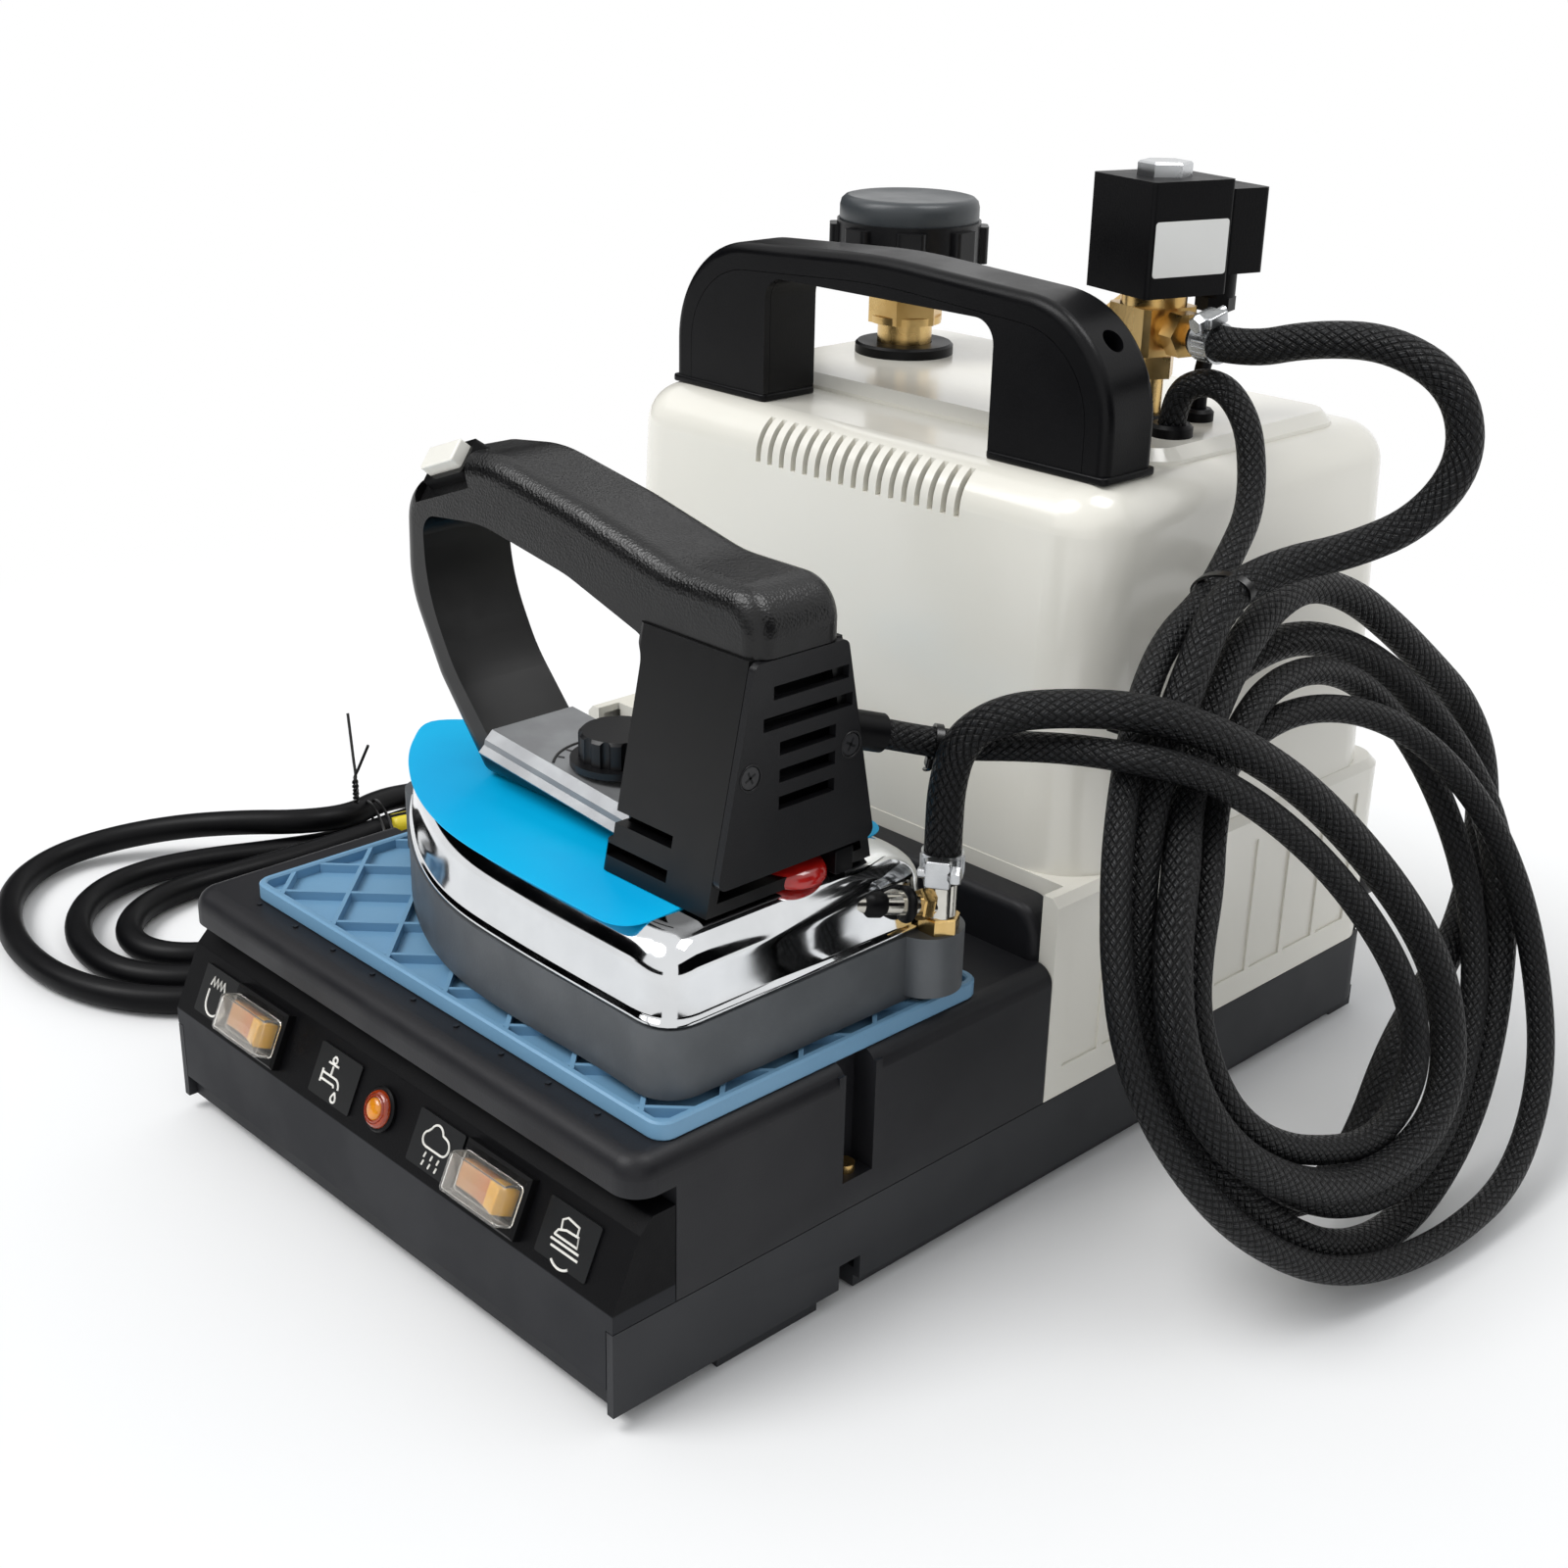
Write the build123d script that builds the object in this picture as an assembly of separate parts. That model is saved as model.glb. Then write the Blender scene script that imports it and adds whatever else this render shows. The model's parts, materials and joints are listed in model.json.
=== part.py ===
from build123d import *
import os
from math import atan2, cos, degrees, hypot, pi, radians, sin, sqrt, tan

# Steam generator iron: a boiler base with an iron resting on its mat.
# Millimetres. X to the right, Y to the back, Z up; the origin is the centre of
# the footprint, on the floor.

# ---------------------------------------------------------------- base casing
BASE_WIDTH = 260.0
BASE_DEPTH = 420.0
HALF_W = BASE_WIDTH / 2
FRONT = -BASE_DEPTH / 2
BACK = BASE_DEPTH / 2
WALL = 3.0                      # moulded plastic wall
SEAM = 0.4                      # gap left between two mouldings
SEAT = 0.2                      # gap between a loose piece and its seat
FIT = 0.02                      # gap at a joint made fast
TRAY_TOP = 36.8                 # upper edge of the tray's side walls
TRAY_FLOOR = 6.0                # underside of the tray floor
RAIL_INSET = 3.0                # rails stand this far inside the side walls
RAIL_WIDTH = 9.0
FOOT_LENGTH = 45.0
NOTCH_BACK = -102.0             # lifting notch in the side walls
NOTCH_LENGTH = 10.0
NOTCH_TOP = 15.5

PANEL_DEPTH = 25.6              # front of the panel to its seam with the deck
APRON_BOTTOM = 15.0
APRON_TOP = 43.6
SLOPE_RUN = 11.0                # the control face leans back by this much
SLOPE_RISE = 23.9
BEVEL = 5.0                     # strip above the control face
DECK_TOP = 92.0
LIP_BOTTOM = 79.0
LIP_SETBACK = 8.5               # from the front of the base to the deck's lip
DECK_ROUND = 7.0
DECK_CORNER = 10.0
POCKET_LENGTH = 14.0            # screw pocket in each side of the deck
POCKET_DEPTH = 10.0
POCKET_FLOOR = 48.0
BACK_WALL_TOP = 112.0
BACK_WALL_THICK = 13.0

BAND_FRONT = -8.0               # lower band of the boiler cover
BAND_BACK = BACK - 4.0
BAND_TOP = 118.0
BAND_CORNER = 14.0
BAND_LEDGE = 3.2                # the band stands proud of the cover by this
LIP_STRIP = 5.0
COVER_FRONT = 3.0
COVER_TOP = 256.5
COVER_DRAFT = 2.2               # degrees
COVER_CORNER = 26.0
COVER_ROUND = 16.0
PLATEAU_TOP = 262.0
PLATEAU_FRONT = 58.0
PLATEAU_INSET = 22.0
RIB_PANELS = 8                  # recessed panels along each side of the band
RIB_RECESS = 0.9
VENTS = 17
VENT_PITCH = 6.4
VENT_WIDTH = 2.6
VENT_CENTRE = 8.0
VENT_LOW = 238.0
VENT_DEPTH = 13.0

# -------------------------------------------------------------- control panel
SWITCH_X = (-76.0, 66.0)
SWITCH_LENGTH = 30.0            # rocker switch aperture
SWITCH_HEIGHT = 13.0
BEZEL_RIM_X = 1.8
BEZEL_RIM_Y = 4.0
BEZEL_PROUD = 4.0
ROCKER_REST = 8.0               # degrees of tilt at rest
ROCKER_FIT = 0.6
ROCKER_PIN = 2.4
ROCKER_PIVOT = -1.0             # pivot's height off the control face
SWITCH_COVER_PROUD = 6.0
SWITCH_COVER_WALL = 1.0
LAMP_X = 1.0
LAMP_DIAMETER = 13.4
PLATE_X = (-HALF_W + 24.0, -27.0, 33.0, HALF_W - 27.0)
PLATE_WIDTH = 25.0
PLATE_HEIGHT = 18.5
PLATE_THICK = 0.8

# ------------------------------------------------------------------ iron mat
MAT_LEFT = -HALF_W + 24.0
MAT_RIGHT = HALF_W - 8.0
MAT_FRONT = FRONT + 23.0
MAT_BACK = -42.0
MAT_TOP = 98.5
MAT_SHEET = 2.5
MAT_BORDER = 8.0
MAT_RIB = 2.0
MAT_PITCH = 24.0
MAT_CORNER = 6.0
PEG_DIAMETER = 8.0
PEG_INSET = 2.0
BUMPS = 9                       # locating pips in front of the mat
BUMP_PITCH = 24.6
BUMP_INSET = 8.0
BUMP_RISE = 0.6
PEG_Y = -114.6

# ---------------------------------------------------------------------- boiler
TANK_DIAMETER = 146.0
TANK_LENGTH = 206.0
TANK_WALL = 2.0
TANK_DISH = 24.0                # depth of each domed end
TANK_Y = 105.0
TANK_Z = 128.0
SADDLE_X = 60.0
SADDLE_THICK = 12.0
SADDLE_HALF = 45.0
ELEMENT_ROD = 8.0
ELEMENT_REACH = 150.0
ELEMENT_SPREAD = 36.0
ELEMENT_DROP = 30.0

NECK_X = 28.0 - TANK_LENGTH / 2
NECK_Y = 122.0
NECK_THREAD = 23.0
NECK_BORE = 16.0
NECK_TOP = 288.0
FLANGE_DIAMETER = 41.6
FLANGE_THICK = 4.6
PLUG_HEX = 28.0
PLUG_BOTTOM = 275.0
PLUG_SEAL = 2.0
PLUG_TOP = 300.0
KNOB_DIAMETER = 60.0
KNOB_LUGS = 8
KNOB_LUG = 3.0
KNOB_WALL_HEIGHT = 17.0
KNOB_CROWN = 9.0

DRAIN_CUP = 14.0
DRAIN_HEIGHT = 56.0
DRAIN_PROUD = 4.2               # past the back, as far as the switch hoods stand past the front

VALVE_X = 74.0
VALVE_Y = 93.0
VALVE_TURN = -15.0              # degrees about Z
PIPE_DIAMETER = 12.0
VALVE_BOTTOM = 289.0
VALVE_BLOCK = 24.0
VALVE_HEIGHT = 21.0
COIL_SIZE = 36.0
COIL_BOTTOM = 311.0
COIL_HEIGHT = 40.0
ARMATURE = 12.0
PLUNGER = 8.0
PLUNGER_STROKE = 2.0
PLUNGER_LOW = 6.2               # above the bottom of the valve body
PLUNGER_LENGTH = 36.0
CONNECTOR_WIDTH = 28.0
CONNECTOR_DEPTH = 18.0
CONNECTOR_DROP = 4.0
BARB_DIAMETER = 8.0
CLAMP_WIDTH = 9.0

# ---------------------------------------------------------------- carry handle
HANDLE_FRONT = 24.0
HANDLE_DEPTH = 27.5
HANDLE_HALF = 110.5
HANDLE_GAP_HALF = 58.0
HANDLE_GAP_TOP = 305.0
HANDLE_TOP = 319.0
HANDLE_SHOULDER = 42.0
HANDLE_CROWN = 300.0            # radius of the arch's nearly flat top
HANDLE_RIM = 4.0
HANDLE_SCREW_HOLE = 9.0
INSERT_INSET = 10.0
INSERT_THICK = 3.0

# ------------------------------------------------------------------------ iron
IRON_HEEL_X = 119.5
IRON_Y = -118.0
SOLE_LENGTH = 218.0
SOLE_HALF = 61.5
SOLE_THICK = 24.0
SOLE_BOTTOM = MAT_TOP + SEAT
SOLE_TOP = SOLE_BOTTOM + SOLE_THICK
HEEL_CORNER = 14.0
LUG_RADIUS = 13.0
LUG_X = -2.8
LUG_Y = 56.0
STEAM_HOLES = 9
STEAM_HOLE = 3.2
COVER_INSET = 1.8
IRON_COVER_TOP = 149.6
IRON_COVER_WALL = 1.2
FILM_THICK = 0.5
FILM_HEEL = 23.0
FILM_INSET = 7.0

GRIP_HALF = 18.5
GRIP_ROUND = 7.5
HEEL_BLOCK_BOTTOM = IRON_COVER_TOP + FILM_THICK + 0.3
HEEL_COVER_BOTTOM = 159.5
HEEL_BLOCK_HALF = 36.0
HEEL_FACE = 8.0
HEEL_COVER_THICK = 3.0
HEEL_SEAM = 230.0
HEEL_LENGTH = 54.0
PLATE_FRONT = 143.0
PLATE_BACK = 64.0
PLATE_LOW = 163.0
PLATE_HIGH = 169.5
PLATE_HALF = 17.8
SHEET = 1.2
DIAL_X = 95.0
DIAL_DIAMETER = 34.0
DIAL_HEIGHT = 12.0
DIAL_FLUTES = 12
DIAL_SHAFT = 6.0
BUTTON_X = 169.5
BUTTON_Y = -9.0
BUTTON_Z = 256.0
BUTTON_LENGTH = 20.0
BUTTON_WIDTH = 9.0
BUTTON_PROUD = 4.5
BUTTON_BEZEL = (25.5, 15.0, 4.0)
INLET_X = 3.2
INLET_Y = 55.5
INLET_HEIGHT = 18.0

# ------------------------------------------------------------- hoses and cords
HOSE = 12.5
CABLE = 10.0
HANK_CENTRE_Y = 61.0
HANK_CENTRE_T = 129.0
HANK_RADIUS = 123.0
HANK_HOLE = 80.0
HANK_THICK = 27.0
HANK_ROUND = 9.0
HANK_FOOT_X = 250.6
HANK_LEAN = 23.59               # degrees from the vertical
CORD = 12.0
GLAND_Y = 150.0
GLAND_Z = 22.0
COIL_GAP = 0.2                  # the coil's hollow underside is that far off the floor
COIL_LAYER = 13.0               # one layer of cord
COIL_CORD_HEIGHT = 26.0         # two layers, where the turns cross
PLUG_START = (-204.0, 254.0)
PLUG_HEIGHT = 19.0              # axis above the floor
PLUG_SLEEVE = 14.0
PLUG_BODY = 34.0
PIN_LENGTH = 19.0
PIN_SPREAD = 9.5
PIN_DIAMETER = 4.8

DECK_FRONT = FRONT + PANEL_DEPTH
SLOPE = degrees(atan2(SLOPE_RUN, SLOPE_RISE))

DRAIN_PLACE = (HALF_W - 8.5, BACK - 14.0, DRAIN_HEIGHT)

CENTRE_LOW = (Align.CENTER, Align.CENTER, Align.MIN)


# ------------------------------------------------------------------- small tools
def block(x0, x1, y0, y1, z0, z1):
    """A box from its bounds."""
    return Pos((x0 + x1) / 2, (y0 + y1) / 2, (z0 + z1) / 2) * Box(x1 - x0, y1 - y0, z1 - z0)


def disc(x, y, z0, z1, radius):
    """An upright cylinder between two heights."""
    return Pos(x, y, z0) * Cylinder(radius, z1 - z0, align=CENTRE_LOW)


def rod(start, end, radius):
    """A round bar between two points."""
    axis = Vector(*end) - Vector(*start)
    return Plane(origin=start, z_dir=axis) * Cylinder(radius, axis.length, align=CENTRE_LOW)


def outline(points, radii):
    """A face inside a closed outline with rounded corners."""
    return make_face(FilletPolyline(*points, radius=radii, close=True))


def along_x(points, radii, x0, x1):
    """A (y, z) outline drawn out along X."""
    return Pos(x0, 0, 0) * extrude(Plane.YZ * outline(points, radii), x1 - x0)


def along_y(points, radii, y0, y1):
    """An (x, z) outline drawn out along Y."""
    return Pos(0, y0, 0) * extrude(Plane.XZ * outline(points, radii), y0 - y1)


def plate(x0, x1, y0, y1, z0, z1, corner):
    """A flat slab with rounded corners in plan."""
    face = RectangleRounded(x1 - x0, y1 - y0, corner)
    return Pos((x0 + x1) / 2, (y0 + y1) / 2, z0) * extrude(face, z1 - z0)


def hex_bar(flats, length):
    return extrude(RegularPolygon(flats / 2, 6, major_radius=False), length)


def on_slope(x, up):
    """A place on the control face: z out of the face, y up along it."""
    middle_z = APRON_TOP + SLOPE_RISE / 2
    middle_y = FRONT + SLOPE_RUN / 2
    return Pos(x, middle_y, middle_z) * Rot(90 - SLOPE, 0, 0) * Pos(0, up, 0)


def save(name, shape):
    shape.label = name
    export_step(shape, "parts/%s.step" % name)


# ------------------------------------------------------------------- base casing
def base_tray():
    shell = block(-HALF_W, HALF_W, FRONT, BACK, TRAY_FLOOR, TRAY_TOP)
    shell = fillet(shell.edges().filter_by(Axis.Z).group_by(Axis.Y)[-1], BAND_CORNER)
    room = block(
        -HALF_W + WALL, HALF_W - WALL, FRONT + PANEL_DEPTH, BACK - WALL, TRAY_FLOOR + WALL, TRAY_TOP + 1
    )
    front_room = block(
        -HALF_W + WALL, HALF_W - WALL, FRONT - 1, DECK_FRONT + 1, APRON_BOTTOM - SEAM, TRAY_TOP + 1
    )
    tray = shell - room - front_room
    tray -= block(-HALF_W + WALL, HALF_W - WALL, FRONT - 1, FRONT + WALL + SEAM, 0, TRAY_TOP)
    rail_out = HALF_W - RAIL_INSET
    feet = (
        (DECK_FRONT + 20, DECK_FRONT + 20 + FOOT_LENGTH, 0.0),
        (NOTCH_BACK, BACK - 20, 1.2),
        (BACK - 20, BACK - 4, 0.0),
    )
    for side in (-1, 1):
        for y0, y1, low in feet:
            x0, x1 = sorted((side * rail_out, side * (rail_out - RAIL_WIDTH)))
            tray += block(x0, x1, y0, y1, low, TRAY_FLOOR + WALL)
        x0, x1 = sorted((side * (HALF_W + 1), side * (HALF_W - WALL - 8)))
        tray -= block(x0, x1, NOTCH_BACK - NOTCH_LENGTH, NOTCH_BACK, -1, NOTCH_TOP)
        x0, x1 = sorted((side * (HALF_W - WALL - 8), side * (HALF_W - WALL - 8 - WALL)))
        tray += block(x0, x1, NOTCH_BACK - NOTCH_LENGTH, NOTCH_BACK, TRAY_FLOOR, NOTCH_TOP + WALL)
        x0, x1 = sorted((side * HALF_W, side * (HALF_W - WALL - 8)))
        tray += block(x0, x1, NOTCH_BACK - NOTCH_LENGTH, NOTCH_BACK, NOTCH_TOP, NOTCH_TOP + WALL)
    return tray - rod((-HALF_W - 1, GLAND_Y, GLAND_Z), (-HALF_W + WALL + 1, GLAND_Y, GLAND_Z), 7.6)


def panel_profile(inset, low):
    """Side outline of the control panel, front to back."""
    slope_top = APRON_TOP + SLOPE_RISE
    shift = inset / cos(radians(SLOPE))
    return [
        (FRONT + inset, low),
        (FRONT + inset, APRON_TOP - inset * tan(radians(SLOPE)) * 0.5),
        (FRONT + SLOPE_RUN + shift * 0.95, slope_top - inset * 0.3),
        (FRONT + SLOPE_RUN + BEVEL + inset * 0.5, slope_top + BEVEL - inset),
        (DECK_FRONT - SEAM, slope_top + BEVEL - inset),
        (DECK_FRONT - SEAM, low),
    ]


def control_panel():
    outer = along_x(panel_profile(0, TRAY_TOP + SEAM), [0, 1, 1, 1.5, 0, 0], -HALF_W, HALF_W)
    inner = along_x(panel_profile(WALL, TRAY_TOP), [0] * 6, -HALF_W + WALL, HALF_W - WALL)
    inner = inner + block(-HALF_W + WALL, HALF_W - WALL, DECK_FRONT - 5, DECK_FRONT + 5, 0, LIP_BOTTOM - 9)
    apron_half = HALF_W - WALL - SEAM
    apron = block(-apron_half, apron_half, FRONT, FRONT + WALL, APRON_BOTTOM, APRON_TOP - 3)
    panel = outer - inner + apron
    for x in SWITCH_X:
        panel -= on_slope(x, 0) * Box(SWITCH_LENGTH + 2 * SEAT, SWITCH_HEIGHT + 2 * SEAT, 14)
    panel -= on_slope(LAMP_X, 0) * Cylinder(LAMP_DIAMETER / 2 - 1.5, 14)
    return panel


def icon_plates():
    plates = [
        on_slope(x, 0) * extrude(RectangleRounded(PLATE_WIDTH, PLATE_HEIGHT, 0.8), PLATE_THICK)
        for x in PLATE_X
    ]
    return Compound(plates)


def panel_bezels():
    """Two raised rims, each with the switch well that holds its rocker."""
    bezels = []
    long = SWITCH_LENGTH + 2 * BEZEL_RIM_X
    high = SWITCH_HEIGHT + 2 * BEZEL_RIM_Y
    for x in SWITCH_X:
        rim = extrude(Rectangle(long, high), BEZEL_PROUD)
        rim = chamfer(rim.faces().sort_by(Axis.Z)[-1].edges(), 1.0)
        well = Pos(0, 0, -14) * extrude(Rectangle(SWITCH_LENGTH, SWITCH_HEIGHT), 14)
        space = Pos(0, 0, -12.5) * extrude(
            Rectangle(SWITCH_LENGTH - 2.4, SWITCH_HEIGHT - 2.4), 12.5 + BEZEL_PROUD + 1
        )
        bore = Pos(0, 0, ROCKER_PIVOT) * Rot(90, 0, 0) * Cylinder(ROCKER_PIN / 2 + 0.05, SWITCH_HEIGHT)
        bezels.append(on_slope(x, 0) * (rim + well - space - bore))
    return Compound(bezels)


def rocker(x):
    """A see-saw key on a half-round keel, tipped at rest."""
    length = SWITCH_LENGTH - 2.4 - 2 * ROCKER_FIT - 1.0
    width = SWITCH_HEIGHT - 2.4 - 2 * ROCKER_FIT
    keel = 3.2
    half = length / 2
    crown = [(-half, 0), (-half, 3.6), (0, 2.2), (half, 3.6), (half, 0), (0, -2.5)]
    face = outline(crown, [0.4, 0.8, 6, 0.8, 0.4, 0])
    body = extrude(Plane.XZ * face, width / 2, both=True)
    body += Rot(90, 0, 0) * Cylinder(keel, width)
    body += Rot(90, 0, 0) * Cylinder(ROCKER_PIN / 2, SWITCH_HEIGHT - 0.8)
    return on_slope(x, 0) * Pos(0, 0, ROCKER_PIVOT) * Rot(0, -ROCKER_REST, 0) * body


def switch_covers():
    """Clear hoods that keep damp out of the switches."""
    hoods = []
    long = SWITCH_LENGTH - 2.4 - 2 * SEAT
    high = SWITCH_HEIGHT - 2.4 - 2 * SEAT
    for x in SWITCH_X:
        base_z = BEZEL_PROUD
        outer = extrude(Rectangle(long + 3, high + 3), SWITCH_COVER_PROUD - 2, taper=12)
        inner = extrude(
            Rectangle(long + 3 - 2 * SWITCH_COVER_WALL, high + 3 - 2 * SWITCH_COVER_WALL),
            SWITCH_COVER_PROUD - 2 - SWITCH_COVER_WALL,
            taper=12,
        )
        hoods.append(on_slope(x, 0) * Pos(0, 0, base_z + 0.05) * (outer - inner))
    return Compound(hoods)


def pilot_lamp():
    radius = LAMP_DIAMETER / 2
    dome = Pos(0, 0, 1.2) * Sphere(radius - 1)
    dome &= Pos(0, 0, 1.2) * Cylinder(radius, 2 * radius, align=CENTRE_LOW)
    lens = Cylinder(radius, 1.2, align=CENTRE_LOW) + dome
    stem = Pos(0, 0, -13) * Cylinder(radius - 1.7, 13, align=CENTRE_LOW)
    return on_slope(LAMP_X, 0) * (lens + stem)


def base_deck():
    """Platform the mat lies on: lip in front, skirts, raised wall behind."""
    lip_front = FRONT + LIP_SETBACK
    back = BAND_FRONT - SEAM
    top = block(-HALF_W, HALF_W, lip_front, back, LIP_BOTTOM, DECK_TOP)
    top = fillet(top.edges().filter_by(Axis.Z).group_by(Axis.Y)[0], DECK_CORNER)
    skirt = block(-HALF_W, HALF_W, DECK_FRONT, back, TRAY_TOP + SEAM, DECK_TOP)
    body = top + skirt
    rim = body.faces().sort_by(Axis.Z)[-1].edges()
    rim = rim.filter_by(lambda e: (e @ 0.5).Y < back - 1)
    body = fillet(rim, DECK_ROUND)
    body -= block(-HALF_W + WALL, HALF_W - WALL, DECK_FRONT + WALL, back + 1, 0, DECK_TOP - WALL)
    body -= block(-HALF_W + 14, HALF_W - 14, lip_front + WALL, DECK_FRONT + 9, 0, DECK_TOP - WALL)
    wall_half = HALF_W - BAND_LEDGE - 4.2
    wall = block(
        -wall_half,
        wall_half,
        COVER_FRONT - SEAM - BACK_WALL_THICK,
        COVER_FRONT - SEAM,
        DECK_TOP - WALL,
        BACK_WALL_TOP,
    )
    wall = fillet(wall.edges().filter_by(Axis.Y).group_by(Axis.Z)[-1], 12)
    wall = fillet(wall.faces().sort_by(Axis.Z)[-1].edges().group_by(Axis.Y)[0], 4)
    wall -= block(
        -wall_half + WALL,
        wall_half - WALL,
        COVER_FRONT - BACK_WALL_THICK + WALL,
        COVER_FRONT + 1,
        0,
        BACK_WALL_TOP - 9,
    )
    body += wall
    for side in (-1, 1):
        x0, x1 = sorted((side * (HALF_W + 1), side * (HALF_W - POCKET_DEPTH)))
        y1 = NOTCH_BACK + 4
        well = block(x0, x1, y1 - POCKET_LENGTH, y1, POCKET_FLOOR, DECK_TOP + 1)
        x2, x3 = sorted((side * HALF_W, side * (HALF_W - POCKET_DEPTH - WALL)))
        tank = block(
            x2, x3, y1 - POCKET_LENGTH - WALL, y1 + WALL, POCKET_FLOOR - WALL, DECK_TOP - WALL
        )
        body = body + tank - well
    for k in range(BUMPS):
        x = MAT_LEFT + BUMP_INSET + BUMP_PITCH * k
        body += disc(x, MAT_FRONT - 2.5, DECK_TOP - 1, DECK_TOP + BUMP_RISE, 1.0)
    body -= disc(MAT_RIGHT - PEG_INSET, PEG_Y, DECK_TOP - WALL - 1, DECK_TOP + 1, PEG_DIAMETER / 2 + SEAT)
    return body


def iron_mat():
    """Silicone rest: thin sheet, raised border and a diagonal lattice."""
    bottom = DECK_TOP
    sheet = plate(MAT_LEFT, MAT_RIGHT, MAT_FRONT, MAT_BACK, bottom, MAT_TOP, MAT_CORNER)
    x0, x1 = MAT_LEFT + MAT_BORDER, MAT_RIGHT - MAT_BORDER
    y0, y1 = MAT_FRONT + MAT_BORDER, MAT_BACK - MAT_BORDER
    room = block(x0, x1, y0, y1, bottom + MAT_SHEET, MAT_TOP + 1)
    mid_x, mid_y = (x0 + x1) / 2, (y0 + y1) / 2
    span = hypot(x1 - x0, y1 - y0)
    count = int(span / MAT_PITCH / 2)
    bars = []
    for turn in (45, -45):
        for k in range(-count, count + 1):
            bar = Box(span, MAT_RIB, MAT_TOP - bottom - MAT_SHEET)
            place = Pos(mid_x, mid_y, (MAT_TOP + bottom + MAT_SHEET) / 2)
            bars.append(place * Rot(0, 0, turn) * Pos(0, k * MAT_PITCH, 0) * bar)
    ribs = bars[0].fuse(*bars[1:]) & block(x0 - 1, x1 + 1, y0 - 1, y1 + 1, bottom, MAT_TOP)
    mat = sheet - room + ribs
    peg_x = MAT_RIGHT - PEG_INSET
    mat += disc(peg_x, PEG_Y, DECK_TOP - WALL, bottom + MAT_SHEET, PEG_DIAMETER / 2)
    mat += disc(peg_x, PEG_Y, bottom, bottom + MAT_SHEET, PEG_DIAMETER / 2 + 1.5)
    return mat


# ------------------------------------------------------------------ boiler cover
def cover_tub(inset, z0, z1, drop):
    """Drafted upper cover as a closed form, shrunk by an inset."""
    x_half = HALF_W - BAND_LEDGE - inset
    y0, y1 = COVER_FRONT + inset, BAND_BACK - BAND_LEDGE - inset
    face = RectangleRounded(2 * x_half, y1 - y0, COVER_CORNER - inset)
    tub = Pos(0, (y0 + y1) / 2, z0) * extrude(face, z1 - z0 - drop, taper=COVER_DRAFT)
    return fillet(tub.faces().sort_by(Axis.Z)[-1].edges(), COVER_ROUND - inset)


def cover_band(inset, z0, z1):
    """Lower band: a wider rim whose wings reach forward beside the deck wall."""
    x_half = HALF_W - inset
    band = block(-x_half, x_half, BAND_FRONT, BAND_BACK - inset, z0, z1)
    return fillet(band.edges().filter_by(Axis.Z).group_by(Axis.Y)[-1], BAND_CORNER - inset)


def boiler_cover():
    low = TRAY_TOP + SEAM
    wall_half = HALF_W - BAND_LEDGE - 4.2 + SEAM
    band = cover_band(0, low, BAND_TOP)
    band = chamfer(band.faces().sort_by(Axis.Z)[-1].edges().filter_by(
        lambda e: (e @ 0.5).Y > BAND_FRONT + 1), BAND_LEDGE - 0.2)
    inside = cover_band(WALL, low - 1, BAND_TOP - WALL)
    inside &= block(-HALF_W, HALF_W, COVER_FRONT + WALL, BACK, 0, BAND_TOP)
    tub = cover_tub(0, BAND_TOP - 6, COVER_TOP, 0)
    hollow = cover_tub(WALL, BAND_TOP - 12, COVER_TOP, WALL)
    top_y1 = BAND_BACK - PLATEAU_INSET - 8
    x_top = HALF_W - PLATEAU_INSET
    plateau = plate(-x_top, x_top, PLATEAU_FRONT, top_y1, COVER_TOP - 1, PLATEAU_TOP, 14)
    plateau = chamfer(plateau.faces().sort_by(Axis.Z)[-1].edges(), 4.0)
    cover = band + tub + plateau
    cover -= inside
    cover -= hollow
    recess = block(-wall_half, wall_half, BAND_FRONT - 1, COVER_FRONT, 0, BAND_TOP + 1)
    cover -= recess
    for side in (-1, 1):
        x0, x1 = sorted((side * (HALF_W - WALL), side * (wall_half - 1)))
        cover -= block(x0, x1, BAND_FRONT + WALL, COVER_FRONT + WALL + 1, low - 1, BAND_TOP - WALL)
        cover -= rib_recesses(side)
    for k in range(VENTS):
        x = VENT_CENTRE + (k - (VENTS - 1) / 2) * VENT_PITCH
        cover -= block(
            x - VENT_WIDTH / 2,
            x + VENT_WIDTH / 2,
            COVER_FRONT - 1,
            COVER_FRONT + VENT_DEPTH,
            VENT_LOW,
            COVER_TOP + 1,
        )
    cover -= disc(NECK_X, NECK_Y, COVER_TOP - WALL - 1, PLATEAU_TOP + 1, NECK_THREAD / 2 + 1)
    cover -= drain_hole()
    for x, y, radius in grommet_places():
        cover -= disc(x, y, COVER_TOP - WALL - 1, PLATEAU_TOP + 1, radius - 2.0)
    return cover


def rib_recesses(side):
    """Shallow upright panels moulded into one side of the band."""
    y0, y1 = BAND_FRONT + LIP_STRIP + 4, BAND_BACK - BAND_CORNER - 4
    pitch = (y1 - y0) / RIB_PANELS
    cuts = []
    for k in range(RIB_PANELS):
        x0, x1 = sorted((side * (HALF_W + 1), side * (HALF_W - RIB_RECESS)))
        start = y0 + k * pitch
        cuts.append(block(x0, x1, start, start + pitch - 3.0, TRAY_TOP + 12, BAND_TOP - 12))
    return cuts


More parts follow.
